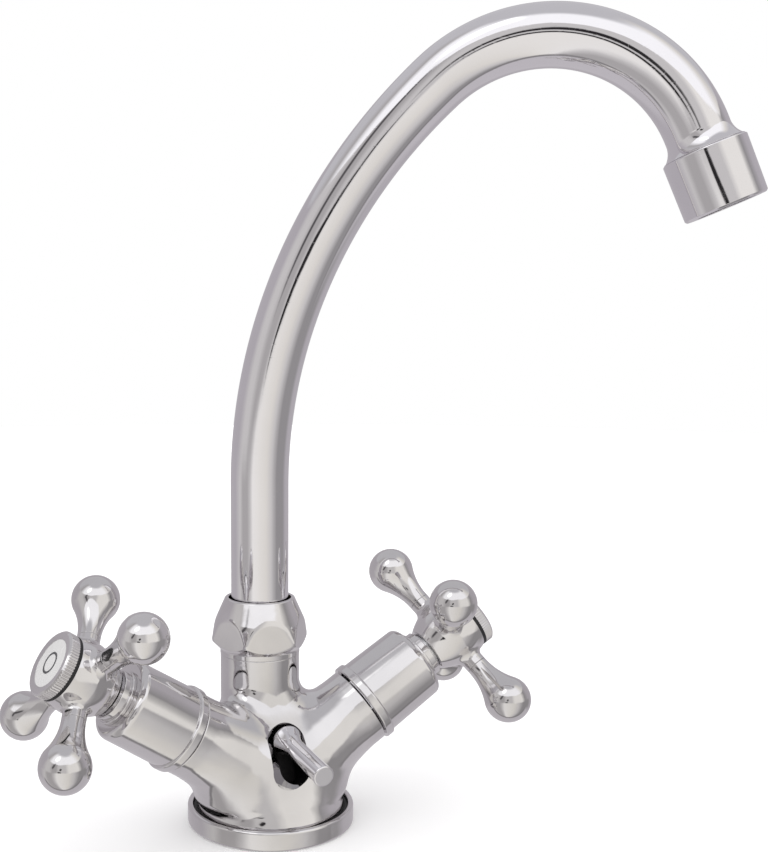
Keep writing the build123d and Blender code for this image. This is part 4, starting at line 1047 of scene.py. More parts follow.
def slot_grid():
    """Chamfer round the slot, wide at the lower left, then the walls and the end behind, which the body gives a
    near-black finish: painted shade inside the slot.
    The walls spread upwards with depth, to clear the lever's eye."""
    size = settings("body")
    across, along, outward, origin = slot_frame()
    hole, facing = slot_outline()
    lean = np.clip(facing @ np.array([-0.9, -0.44]), 0, 1)[:, None] ** 1.6
    inset = size.slot_inset * lean * eased((3 * MM - hole[:, 1:]) / (8 * MM))
    rim = on_slot(hole + (size.slot_edge + size.slot_crescent * lean) * facing)
    edge = on_slot(hole - inset * facing, size.slot_chamfer + size.slot_fall * lean)
    out = facing[:, :1] * across + facing[:, 1:] * along
    fall = edge - rim
    tangent = np.roll(edge, -1, 0) - np.roll(edge, 1, 0)
    bevel = np.cross(tangent, fall)
    bevel /= np.linalg.norm(bevel, axis=1)[:, None]
    soft = bevel - 0.6 * out
    back = origin - size.slot_depth * outward
    spread = np.where(hole[:, 1:] > 0, hole[:, 1:] * 1.33, hole[:, 1:])
    end = back + hole[:, :1] * across + spread * along
    middle_height = np.clip(spread, -0.25 * size.slot_length, 0.4 * size.slot_length)
    middle = back + middle_height * along
    turned_in = edge + 0.12 * (end - edge)
    chamfer_rows = np.stack([rim, rim + 0.92 * fall, edge - 0.15 * MM * outward])
    chamfer_facing = np.stack([bevel, bevel, soft])
    wall_rows = np.stack([edge - 0.15 * MM * outward, turned_in, end])
    wall_facing = np.stack([-out, -out, -out])
    end_rows = np.stack([end, middle])
    end_facing = np.stack([np.tile(outward, (len(hole), 1))] * 2)
    rows = [(chamfer_rows, chamfer_facing), (wall_rows, wall_facing), (end_rows, end_facing)]
    return rim, rows


def neck_loop():
    """Row round the root of the neck, from its front point: high at the sides, low at the back."""
    size = settings("body")
    turns = -np.pi / 2 + np.arange(NECK_STEPS) * TURN / NECK_STEPS
    height = (30 + 13 * np.cos(turns) ** 2 - 10 * np.sin(turns)) * MM
    x, y, _, origin = neck_frame()
    way = np.cos(turns)[:, None] * x + np.sin(turns)[:, None] * y
    start = origin + height[:, None] * np.array([0, 0, 1])
    return reached(casting_field, start, way, 2 * MM, size.neck_radius + 14 * MM), turns


def skirt_loop(height):
    """Level row round the skirt, from its front point."""
    turns = -np.pi / 2 + np.arange(SKIRT_STEPS) * TURN / SKIRT_STEPS
    way = np.stack([np.cos(turns), np.sin(turns), 0 * turns], 1)
    start = np.tile([0, 0, height], (SKIRT_STEPS, 1))
    return reached(casting_field, start, way, 5 * MM, 45 * MM), turns


def middle_line(start, end, steps, way):
    """Points in the body's middle plane between two heights, where level rays leave it."""
    heights = np.linspace(start[2], end[2], steps + 1)[1:-1]
    inside = np.stack([0 * heights, 0 * heights + 6 * MM, heights], 1)
    return reached(casting_field, inside, np.array([0, way, 0.0]), 0, 45 * MM)


def arm_grids(side, neck, skirt, rim):
    """One half of the body round its arm: from a closed row along the neck, the front line, the
    slot, the skirt and the back line, out to the arm's end, its face and its bore."""
    size = settings("body")
    hand = 1 if side == "right" else -1
    around = hand * np.arange(NECK_STEPS // 2 + 1)
    neck_half = neck[around[::-1] % NECK_STEPS]
    skirt_half = skirt[(hand * np.arange(SKIRT_STEPS // 2 + 1)) % SKIRT_STEPS]
    slot_steps = len(rim)
    slot_half = rim[(hand * np.arange(slot_steps // 2, -1, -1)) % slot_steps]
    loop = np.concatenate(
        [
            neck_half,
            middle_line(neck_half[-1], slot_half[0], FRONT_UPPER, -1),
            slot_half,
            middle_line(slot_half[-1], skirt_half[0], FRONT_LOWER, -1),
            skirt_half,
            middle_line(skirt_half[-1], neck_half[0], BACK_STEPS, 1),
        ]
    )
    if hand < 0:
        loop = loop[::-1]
    x, y, outward, origin = valve_frame(side)
    local = loop - origin
    turns = np.unwrap(np.arctan2(local @ y, local @ x))
    station = local @ outward
    away = np.linalg.norm(local - station[:, None] * outward, axis=1)
    lengths = np.linalg.norm(np.roll(loop, -1, 0) - loop, axis=1)
    even = turns[0] + TURN * np.concatenate([[0], np.cumsum(lengths)[:-1]]) / lengths.sum()
    even += (turns - even).mean()
    end_turns = 0.35 * turns + 0.65 * even
    last = size.arm_length - size.arm_edge
    down = np.linspace(0, 1, ARM_ROWS)[:, None]
    turn_grid = (1 - down) * turns + down * end_turns
    station_grid = (1 - down) * station + down * last
    away_grid = (1 - down) * away + down * size.arm_radius
    out = np.cos(turn_grid)[..., None] * x + np.sin(turn_grid)[..., None] * y
    guess = origin + away_grid[..., None] * out + station_grid[..., None] * outward
    guess[0] = loop
    grid = relaxed(guess, casting_field, size.smoothing)
    seat = size.arm_length - size.valve_bore_depth
    end = outline(
        (size.arm_radius, last),
        (size.arm_radius, size.arm_length, size.arm_edge),
        (size.valve_bore, size.arm_length, 0.1 * MM),
        (size.valve_bore, seat),
        (0, seat),
        closed=False,
    )
    where, facing = turned(end, valve_frame(side), turns=end_turns)
    where[0] = grid[-1]
    return [with_slope(grid, casting_field), (where, facing)]


def straight_rows(first, last, rows):
    """Grid of straight lines between two rows of points."""
    down = np.linspace(0, 1, rows)[:, None, None]
    return (1 - down) * first + down * last


def neck_grids(neck, turns):
    """Neck from its root row up to the step, the spigot and its bore."""
    size = settings("body")
    step = size.neck_top
    top = outline(
        (size.neck_radius, step - 0.3 * MM),
        (size.neck_radius, step, 0.25 * MM),
        (size.spigot_radius, step),
        (size.spigot_radius, step + size.spigot_height),
        (size.neck_bore, step + size.spigot_height),
        (size.neck_bore, step - size.neck_bore_depth),
        (0, step - size.neck_bore_depth),
        closed=False,
    )
    where, facing = turned(top, neck_frame(), turns=turns)
    grid = relaxed(straight_rows(neck, where[0], NECK_ROWS), casting_field, 12)
    return [with_slope(grid, casting_field), (where, facing)]


def foot_grids(skirt, turns):
    """Skirt from its bottom edge up to the skirt row."""
    size = settings("body")
    low, _ = skirt_loop(size.ledge_height + size.foot_edge)
    radius = np.linalg.norm(low[:, :2], axis=1)
    lift = np.linspace(0, np.pi / 2, 7)[:, None]
    out = np.stack([np.cos(turns), np.sin(turns), 0 * turns], 1)
    reach = radius - size.foot_edge * (1 - np.sin(lift))
    height = size.ledge_height + size.foot_edge * (1 - np.cos(lift)) + 0 * radius
    edge = reach[..., None] * out + height[..., None] * np.array([0, 0, 1])
    edge[-1] = low
    facing = np.sin(lift)[..., None] * out - np.cos(lift)[..., None] * np.array([0, 0, 1])
    grid = relaxed(straight_rows(low, skirt, SKIRT_ROWS), casting_field, 12)
    return edge[0], [(edge, facing), with_slope(grid, casting_field)]


def underside_grids(edge):
    """Bottom face in four sectors, each round one of the sockets: two hoses, stud and pull rod."""
    size = settings("body")
    down = np.array([0, 0, -1.0])
    centre = np.array([0, 0, size.ledge_height])
    sockets = [
        (0.0, size.inlet_x, size.inlet_y, size.inlet_radius, 10 * MM),
        (0.25, 0.0, size.stud_y, size.stud_radius, 9 * MM),
        (0.5, -size.inlet_x, size.inlet_y, size.inlet_radius, 10 * MM),
        (0.75, 0.0, size.rod_y, size.rod_radius, 11 * MM),
    ]
    grids = []
    quarter = SKIRT_STEPS // 4
    for share_round, x, y, radius, depth in sockets:
        first = int(round((share_round + 0.25 - 0.125) * SKIRT_STEPS))
        rim = edge[np.arange(first, first + quarter + 1) % SKIRT_STEPS]
        spread = np.linspace(0, 1, SECTOR_STEPS + 1)[:, None]
        out_line = centre + spread * (rim[0] - centre)
        in_line = centre + spread[::-1] * (rim[-1] - centre)
        loop = np.concatenate([out_line[:-1], rim[:-1], in_line[:-1]])
        middle = np.array([x, y, size.ledge_height])
        turns = np.unwrap(np.arctan2(loop[:, 1] - y, loop[:, 0] - x))
        circle = np.stack([np.cos(turns), np.sin(turns), 0 * turns], 1)
        hole = middle + radius * circle
        top = depth * np.array([0, 0, 1.0])
        flat = np.tile(down, (len(loop), 1))
        grids.append((np.stack([0 * hole + middle + top, hole + top]), np.stack([flat, flat])))
        grids.append((np.stack([hole + top, hole]), np.stack([-circle, -circle])))
        grids.append((straight_rows(hole, loop, 7), np.stack([flat] * 7)))
    return grids


class TAP_OT_body(bpy.types.Operator):
    """Builds the casting: skirt, two arms, neck and the lever's slot"""

    bl_idname = "tap.body"
    bl_label = "Body casting"

    def execute(self, context):
        neck, neck_turns = neck_loop()
        skirt, skirt_turns = skirt_loop(12 * MM)
        rim, slot_rows = slot_grid()
        edge, foot = foot_grids(skirt, skirt_turns)
        grids = neck_grids(neck, neck_turns) + foot + underside_grids(edge)
        for side in SIDES:
            grids += arm_grids(side, neck, skirt, rim)
        made = piece("casting", "tap_body", finishes["cast_chrome"], grids + slot_rows, ["body_casting"])
        # The slot's walls and end take the near-black finish, painted shade inside the slot; its chamfer takes the
        # darker slot chrome, painted shade as well.
        made.data.materials.append(finishes["casting"])
        made.data.materials.append(finishes["slot_chrome"])
        chamfer, walls, end = ((len(rows[0]) - 1) * len(rim) for rows in slot_rows)
        materials = np.zeros(len(made.data.polygons), np.int32)
        materials[-chamfer - walls - end :] = 2
        materials[-walls - end :] = 1
        made.data.polygons.foreach_set("material_index", materials)
        return {"FINISHED"}


def hub_radius(station):
    """Radius of the hub's barrel: two arcs, each its centre's radius plus the square root of the
    arc's radius squared less the square of the way along from its centre."""
    size = settings("handle")
    shoulder = (
        size.hub_radius - 0.25 * (size.hub_radius - size.front_radius),
        (size.cross_station + size.hub_end) / 2,
    )
    ends = [
        ((size.back_radius, size.hub_start), (size.waist_radius, size.waist_station)),
        ((size.front_radius, size.hub_end), shoulder),
    ]
    radii = []
    for end, middle in ends:
        points, _ = arc_through(end, middle, (size.hub_radius, size.cross_station))
        a, b, c = points[0], points[len(points) // 2], points[-1]
        sides = np.array([b - a, c - a])
        centre = np.linalg.solve(2 * sides, [b @ b - a @ a, c @ c - a @ a])
        reach = np.linalg.norm(a - centre)
        bulge = np.sqrt(np.maximum(reach**2 - (station - centre[1]) ** 2, 1e-12))
        radii.append(centre[0] + bulge)
    return np.where(station < size.cross_station, radii[0], radii[1])


def hub_field(points):
    """Barrel of the hub with four round bosses, in the valve's own frame: the nearest boss is found
    by folding the angle about the axis into one quarter."""
    size = settings("handle")
    x, y, station = np.moveaxis(points, -1, 0)
    away = np.hypot(x, y)
    barrel = (away - hub_radius(station)) * 0.97
    turn = np.arctan2(y, x)
    turn -= np.round(turn / (TURN / 4)) * (TURN / 4)
    boss = np.hypot(away * np.sin(turn), station - size.cross_station) - size.boss_radius
    return blended(barrel, boss, size.boss_round)


def hub_grids(side):
    """Hub in four sectors, each from its outline in to its boss, then both ends."""
    size = settings("handle")
    axis = valve_frame(side)
    quarter = HUB_QUARTER
    start, end = size.hub_start + 0.3 * MM, size.hub_end - 0.25 * MM
    turns = TURN / 8 + np.arange(4 * quarter) * TURN / (4 * quarter)
    rings = []
    for station in (start, end):
        radius = hub_radius(np.array(station))
        rings.append(np.stack([radius * np.cos(turns), radius * np.sin(turns), 0 * turns + station], 1))
    stations = np.linspace(start, end, quarter + 1)[1:-1]
    radii = hub_radius(stations)
    grids = []
    for k in range(4):
        near = (np.arange((k - 1) * quarter, k * quarter + 1)) % (4 * quarter)
        lines = []
        for turn in (turns[near[0]], turns[near[-1]]):
            lines.append(np.stack([radii * np.cos(turn), radii * np.sin(turn), stations], 1))
        front = rings[1][near][::-1]
        back = rings[0][near]
        loop = np.concatenate([front, lines[0][::-1], back, lines[1]])
        spoke = k * TURN / 4
        out = np.array([np.cos(spoke), np.sin(spoke), 0])
        ahead = np.array([0, 0, 1.0])
        aside = np.cross(out, ahead)
        angles = -np.pi / 4 + np.arange(4 * quarter) * TURN / (4 * quarter)
        round_boss = np.cos(angles)[:, None] * ahead + np.sin(angles)[:, None] * aside
        middle = size.cross_station * ahead
        land = size.seam_radius - 0.9 * MM
        circle = middle + land * out + size.boss_radius * round_boss
        grid = relaxed(straight_rows(loop, circle, HUB_ROWS), hub_field, 60)
        shape = outline(
            (size.boss_radius, land),
            (size.boss_radius, size.seam_radius - 0.02 * MM, 0.12 * MM),
            (size.spigot_radius + 0.05 * MM, size.seam_radius - 0.02 * MM),
            (size.spigot_radius + 0.05 * MM, size.seam_radius - size.spigot_length - 0.3 * MM),
            (0, size.seam_radius - size.spigot_length - 0.3 * MM),
            closed=False,
        )
        where, facing = turned(shape, np.array([ahead, aside, out, middle]), turns=angles)
        where[0] = grid[-1]
        grids += [with_slope(grid, hub_field), (where, facing)]
    plain = np.array([(1, 0, 0), (0, 1, 0), (0, 0, 1), (0, 0, 0)], float)
    front = outline(
        (hub_radius(np.array(end)), end),
        (size.front_radius, size.hub_end, 0.2 * MM),
        (size.socket_radius, size.hub_end),
        (size.socket_radius, size.hub_end - size.socket_depth),
        (0, size.hub_end - size.socket_depth),
        closed=False,
    )
    where, facing = turned(front, plain, turns=turns)
    where[0] = rings[1]
    grids.append((where, facing))
    back = outline(
        (0, size.hub_start + size.recess_depth),
        (size.recess_radius, size.hub_start + size.recess_depth),
        (size.recess_radius, size.hub_start, 0.15 * MM),
        (size.back_radius, size.hub_start, 0.25 * MM),
        (hub_radius(np.array(start)), start),
        closed=False,
    )
    where, facing = turned(back, plain, turns=turns)
    where[-1] = rings[0]
    grids.append((where, facing))
    x, y, z, origin = axis
    placed = []
    for where, facing in grids:
        placed.append((origin + where @ np.array([x, y, z]), facing @ np.array([x, y, z])))
    return placed


class TAP_OT_hubs(bpy.types.Operator):
    """Builds the hub of both handles, with its four bosses"""

    bl_idname = "tap.hubs"
    bl_label = "Handle hubs"

    def execute(self, context):
        for side in SIDES:
            grids = hub_grids(side)
            piece("hub_" + side, "handle_" + side, finishes["handle_chrome"], grids, ["handle_hub_" + side])
        return {"FINISHED"}


class TAP_OT_lever(bpy.types.Operator):
    """Builds the flared lever in the front slot"""

    bl_idname = "tap.lever"
    bl_label = "Front lever"

    def execute(self, context):
        size = settings("lever")
        flare = size.flare_radius
        rim = size.flare_station + size.flare_width
        half = (rim + size.neck_station) / 2
        half_radius = size.neck_radius + 0.28 * (flare - size.neck_radius)
        end = size.length
        shape = join(
            arc((0, 0), size.eye_radius, -np.pi / 2, -0.01, 12),
            run((size.eye_radius, 0), (size.shank_radius, size.eye_radius)),
            run((size.shank_radius, size.eye_radius), (size.shank_radius, size.flare_station - size.flare_width)),
            run((size.shank_radius, size.flare_station - size.flare_width), (flare - 0.1 * MM, size.flare_station - 0.05 * MM)),
            arc((flare - 0.15 * MM, size.flare_station + 0.1 * MM), 0.15 * MM, -0.6, 0, 4),
            run((flare, size.flare_station + 0.1 * MM), (flare, rim - 0.1 * MM)),
            arc((flare - 0.15 * MM, rim - 0.1 * MM), 0.15 * MM, 0, 0.9, 5),
            arc_through((flare - 0.06 * MM, rim + 0.02 * MM), (half_radius, half), (size.neck_radius, size.neck_station), 40),
            run((size.neck_radius, size.neck_station), (size.rod_radius, end - size.edge), 4),
            arc((size.rod_radius - size.edge, end - size.edge), size.edge, 0, np.pi / 2, 8),
            run((size.rod_radius - size.edge, end), (0, end)),
        )
        x, y, z = joint("waste_lever_tip")["pos_m"]
        droop = size.droop
        ahead = np.array([0, -np.cos(droop), -np.sin(droop)])
        axis = np.array([(1, 0, 0), np.cross(ahead, (1, 0, 0)), ahead, (0, y, z)])
        piece("front_lever", "lever", finishes["chrome"], [turned(shape, axis, 112)], ["waste_lever"])
        return {"FINISHED"}


class TAP_OT_valves(bpy.types.Operator):
    """Builds the sleeve and the gland ring of both valves"""

    bl_idname = "tap.valves"
    bl_label = "Sleeves and gland rings"

    def execute(self, context):
        size = settings("valve")
        lip_end = size.sleeve_start + size.lip_length
        bore = size.front_radius - size.wall
        nose_in = size.sleeve_end - size.nose_wall
        sleeve = outline(
            (bore, size.sleeve_start, 0.15 * MM),
            (size.lip_radius, size.sleeve_start, 0.5 * MM),
            (size.lip_radius, lip_end, 0.7 * MM),
            (size.back_radius, lip_end, 0.15 * MM),
            (size.front_radius, size.sleeve_end, size.nose_round),
            (size.mouth_radius, size.sleeve_end, 0.1 * MM),
            (size.mouth_radius, nose_in),
            (bore, nose_in),
            steps=12,
        )
        step = size.sleeve_end + size.ring_length
        end = step + size.collar_length
        ring = outline(
            (size.mouth_radius, size.sleeve_end),
            (size.ring_radius, size.sleeve_end, 0.2 * MM),
            (size.ring_radius, step, 0.4 * MM),
            (size.collar_radius, step, 0.1 * MM),
            (size.collar_radius, end, 0.3 * MM),
            (size.mouth_radius, end, 0.1 * MM),
        )
        for side in SIDES:
            axis = valve_frame(side)
            piece("shroud_" + side, "tap_body", finishes["handle_chrome"], [turned(sleeve, axis, 160)], ["sleeve_" + side])
            piece("gland_" + side, "tap_body", finishes["handle_chrome"], [turned(ring, axis, 96)], ["lock_ring_" + side])
        return {"FINISHED"}


def ball_arm_outline():
    """Spigot, root and neck of an arm, then its ball. The neck is the arc that runs level with the
    arm at its root and touches the ball: its radius follows from the reach, the root and the ball."""
    size = settings("handle")
    root_end = size.seam_radius + 0.5 * MM
    reach = size.ball_reach - root_end
    root, ball = size.boss_radius, size.ball_radius
    neck = (reach**2 + root**2 - ball**2) / (2 * (ball - root))
    turn = np.arcsin(reach / (neck + ball))
    seam = size.seam_radius + 0.02 * MM
    back = size.seam_radius - size.spigot_length
    middle = (neck + root, root_end)
    return join(
        run((0, back), (size.spigot_radius, back)),
        run((size.spigot_radius, back), (size.spigot_radius, seam)),
        run((size.spigot_radius, seam), (root - 0.15 * MM, seam)),
        arc((root - 0.15 * MM, seam + 0.15 * MM), 0.15 * MM, -np.pi / 2, 0, 4),
        run((root, seam + 0.15 * MM), (root, root_end)),
        arc(middle, neck, np.pi, np.pi - turn, 28),
        arc((0, size.ball_reach), ball, -turn, np.pi / 2, 48),
    )


class TAP_OT_ball_arms(bpy.types.Operator):
    """Builds the four ball arms of both handles"""

    bl_idname = "tap.ball_arms"
    bl_label = "Ball arms"

    def execute(self, context):
        shape = ball_arm_outline()
        for side in SIDES:
            grids = [turned(shape, spoke, 96) for spoke in spoke_frames(side)]
            name, body = "ball_arms_" + side, "handle_" + side
            piece(name, body, finishes["handle_chrome"], grids, ["handle_arms_" + side])
        return {"FINISHED"}


def knurled(shape, axis, tip, depth, teeth, share_steps=12):
    """Turned surface whose radius stays under a round-topped wave: tip less depth times the square
    of the cosine of the tooth angle. Its normal leans with the wave's slope."""
    points, normals = shape
    turns = np.arange(teeth * share_steps) * TURN / (teeth * share_steps)
    phase = np.abs(np.cos(teeth * turns / 2))
    wave = tip - depth * phase**3
    slope = np.gradient(np.concatenate([wave[-2:], wave, wave[:2]]), turns[1] - turns[0])[2:-2]
    radii, part = softer(points[:, 0, None], wave[None, :], 0.1 * MM)
    x, y, z, origin = axis
    out = np.cos(turns)[:, None] * x + np.sin(turns)[:, None] * y
    around = -np.sin(turns)[:, None] * x + np.cos(turns)[:, None] * y
    ridge = out - around * (slope / tip)[:, None]
    ridge /= np.linalg.norm(ridge, axis=1)[:, None]
    where = origin + radii[..., None] * out + points[:, 1, None, None] * z
    facing = (1 - part[..., None]) * (normals[:, 0, None, None] * out + normals[:, 1, None, None] * z)
    return where, facing + part[..., None] * ridge


class TAP_OT_caps(bpy.types.Operator):
    """Builds the black ring, the knurled cap and the index disc of both handles"""

    bl_idname = "tap.caps"
    bl_label = "Index caps"

    def execute(self, context):
        size = settings("handle")
        seat = size.disc_radius + 0.05 * MM
        floor = size.cap_end - size.disc_sunk - size.disc_thickness
        spigot = size.socket_radius - 0.05 * MM
        bore = spigot - 1.5 * MM
        spigot_start = size.cap_start - 3.3 * MM
        cap = outline(
            (0, floor - 1.5 * MM),
            (bore, floor - 1.5 * MM),
            (bore, spigot_start),
            (spigot, spigot_start),
            (spigot, size.cap_start),
            (size.cap_radius, size.cap_start, 0.12 * MM),
            (size.cap_radius, size.cap_end - size.cap_chamfer, 0.2 * MM),
            (size.cap_radius - size.cap_chamfer, size.cap_end, 0.3 * MM),
            (seat, size.cap_end - size.cap_bevel, 0.12 * MM),
            (seat, floor),
            (0, floor),
            closed=False,
            run_steps=3,
        )
        disc_top = floor + size.disc_thickness
        rim = disc_top - size.disc_dome
        dome = (size.disc_radius**2 + size.disc_dome**2) / (2 * size.disc_dome)
        lean = np.arcsin(size.disc_radius / dome)
        disc = join(
            run((0, floor), (size.disc_radius, floor)),
            run((size.disc_radius, floor), (size.disc_radius, rim - 0.1 * MM)),
            arc((size.disc_radius - 0.1 * MM, rim - 0.1 * MM), 0.1 * MM, 0, np.pi / 2 - lean, 4),
            arc((0, disc_top - dome), dome, np.pi / 2 - lean, np.pi / 2, 24),
        )
        ring_top = disc_top + size.mark_height
        ring_low = disc_top - size.disc_dome
        mark = outline(
            (size.mark_radius - size.mark_width / 2, ring_low),
            (size.mark_radius + size.mark_width / 2, ring_low),
            (size.mark_radius + size.mark_width / 2, ring_top, 0.01 * MM),
            (size.mark_radius - size.mark_width / 2, ring_top, 0.01 * MM),
        )
        seal = outline(
            (size.socket_radius, size.seal_start),
            (size.seal_radius, size.seal_start, 0.1 * MM),
            (size.seal_radius, size.cap_start, 0.1 * MM),
            (size.socket_radius, size.cap_start),
        )
        for side in SIDES:
            axis = valve_frame(side)
            body = "handle_" + side
            knurl = knurled(cap, axis, size.cap_radius, size.knurl_depth, size.knurl_teeth)
            piece("knurled_cap_" + side, body, finishes["handle_chrome"], [knurl], ["index_cap_" + side])
            grids = [turned(seal, axis, 96)]
            piece("cap_ring_" + side, body, finishes["black_rubber"], grids, ["cap_seal_" + side])
            grids = [turned(disc, axis, 96)]
            piece("enamel_disc_" + side, body, finishes["index_white"], grids, ["index_disc_" + side])
            grids = [turned(mark, axis, 96)]
            piece("index_mark_" + side, body, finishes["index_mark"], grids)
        return {"FINISHED"}


# Studio

# Shades of the light tent
WHITE = (1.15, 1.15, 1.17)
CREAM = (0.84, 0.815, 0.765)
PALE = (0.66, 0.645, 0.64)
GREY = (0.47, 0.455, 0.455)
SLATE = (0.34, 0.33, 0.335)
LAVENDER = (0.50, 0.475, 0.505)
DARK = (0.025, 0.023, 0.025)
ROOF = (0.60, 0.595, 0.62)
BACK_LOW = (0.60, 0.575, 0.605)
# Walls of the tent below, at and above the horizon: degrees to the right of the camera's own
# direction, and the shade there.
WALL_LOW = [
    (-180, LAVENDER),
    (-110, LAVENDER),
    (-84, PALE),
    (-70, GREY),
    (-50, GREY),
    (-38, PALE),
    (-28, (0.95, 0.935, 0.91)),
    (-8, (0.93, 0.91, 0.87)),
    (24, CREAM),
    (48, PALE),
    (70, SLATE),
    (104, SLATE),
    (122, LAVENDER),
    (180, LAVENDER),
]
WALL_LEVEL = [
    (-180, LAVENDER),
    (-100, LAVENDER),
    (-78, PALE),
    (-60, PALE),
    (-44, GREY),
    (-30, GREY),
    (-20, PALE),
    (10, PALE),
    (25, (0.95, 0.93, 0.89)),
    (66, (0.95, 0.93, 0.89)),
    (84, SLATE),
    (108, LAVENDER),
    (180, LAVENDER),
]
WALL_HIGH = [(-180, ROOF), (-110, ROOF), (-84, GREY), (-64, WHITE), (60, WHITE), (90, CREAM), (112, ROOF), (180, ROOF)]
# Cards hung in the tent: start and end in degrees right and up, half width, softness and shade.
CARDS = [
    ((-12, 9), (-9, 14), 3.2, 1.4, DARK),
    ((-46, 14), (-38, 28), 4.0, 2.5, (0.10, 0.095, 0.10)),
    ((-20, -2), (-11, -2), 2.6, 1.0, DARK),
    ((-41, 50), (-33, 56), 9.0, 4.0, (1.9, 1.9, 1.9)),
]
CAMERA_SPOT = (-0.15486, -0.33609, 0.15485)
CAMERA_LOOK = (0.41783, 0.89981, -0.12559)
CAMERA_LENS = 51.72
CAMERA_SENSOR = 36.0
CAMERA_SHIFT = (110 / 852, 52 / 852)


def card_group():
    """Mask of a card: one within its half width of the line from Start along Run, and none outside."""
    tree = bpy.data.node_groups.new("tent_card", "ShaderNodeTree")
    for label in ("Place", "Start", "Run"):
        tree.interface.new_socket(name=label, in_out="INPUT", socket_type="NodeSocketVector")
    for label in ("Half width", "Softness"):
        tree.interface.new_socket(name=label, in_out="INPUT", socket_type="NodeSocketFloat")
    tree.interface.new_socket(name="Mask", in_out="OUTPUT", socket_type="NodeSocketFloat")
    given = tree.nodes.new("NodeGroupInput").outputs
    put = tree.nodes.new("NodeGroupOutput").inputs
    from_start = shader_node(tree, "VectorMath", {0: given["Place"], 1: given["Start"]}, operation="SUBTRACT")
    along = shader_node(tree, "VectorMath", {0: from_start.outputs[0], 1: given["Run"]}, operation="DOT_PRODUCT")
    square = shader_node(tree, "VectorMath", {0: given["Run"], 1: given["Run"]}, operation="DOT_PRODUCT")
    part = shader_node(
        tree, "Math", {0: along.outputs["Value"], 1: square.outputs["Value"]}, operation="DIVIDE", use_clamp=True
    )
    nearest = shader_node(tree, "VectorMath", {0: given["Run"], "Scale": part.outputs[0]}, operation="SCALE")
    off = shader_node(tree, "VectorMath", {0: from_start.outputs[0], 1: nearest.outputs[0]}, operation="DISTANCE")
    inner = shader_node(tree, "Math", {0: given["Half width"], 1: given["Softness"]}, operation="SUBTRACT")
    outer = shader_node(tree, "Math", {0: given["Half width"], 1: given["Softness"]}, operation="ADD")
    mask = shader_node(
        tree,
        "MapRange",
        {0: off.outputs["Value"], 1: inner.outputs[0], 2: outer.outputs[0], 3: 1.0, 4: 0.0},
        interpolation_type="SMOOTHSTEP",
    )
    tree.links.new(mask.outputs[0], put["Mask"])


def laid_over(tree, under, over, mask):
    """Colour over another colour where a mask is one."""
    mixed = shader_node(tree, "Mix", {0: mask}, data_type="RGBA")
    for socket, value in ((mixed.inputs[6], under), (mixed.inputs[7], over)):
        if isinstance(value, bpy.types.NodeSocket):
            tree.links.new(value, socket)
        else:
            socket.default_value = (*value, 1)
    return mixed.outputs[2]


def step(tree, value, start, end):
    """Smooth step of a value from none at start to one at end."""
    inputs = {0: value, 1: start, 2: end, 3: 0.0, 4: 1.0}
    if start > end:
        inputs = {0: value, 1: end, 2: start, 3: 1.0, 4: 0.0}
    return shader_node(tree, "MapRange", inputs, interpolation_type="SMOOTHSTEP").outputs[0]


def wall(tree, right, stops):
    """Shade round the tent, from degrees to the camera's right."""
    round_share = shader_node(tree, "MapRange", {0: right, 1: -180.0, 2: 180.0})
    ramp = shader_node(tree, "ValToRGB", {0: round_share.outputs[0]})
    for degrees, _ in stops[1:-1]:
        ramp.color_ramp.elements.new((degrees + 180) / 360)
    for element, (degrees, shade) in zip(ramp.color_ramp.elements, stops):
        element.position = (degrees + 180) / 360
        element.color = (*shade, 1)
    return ramp.outputs[0]


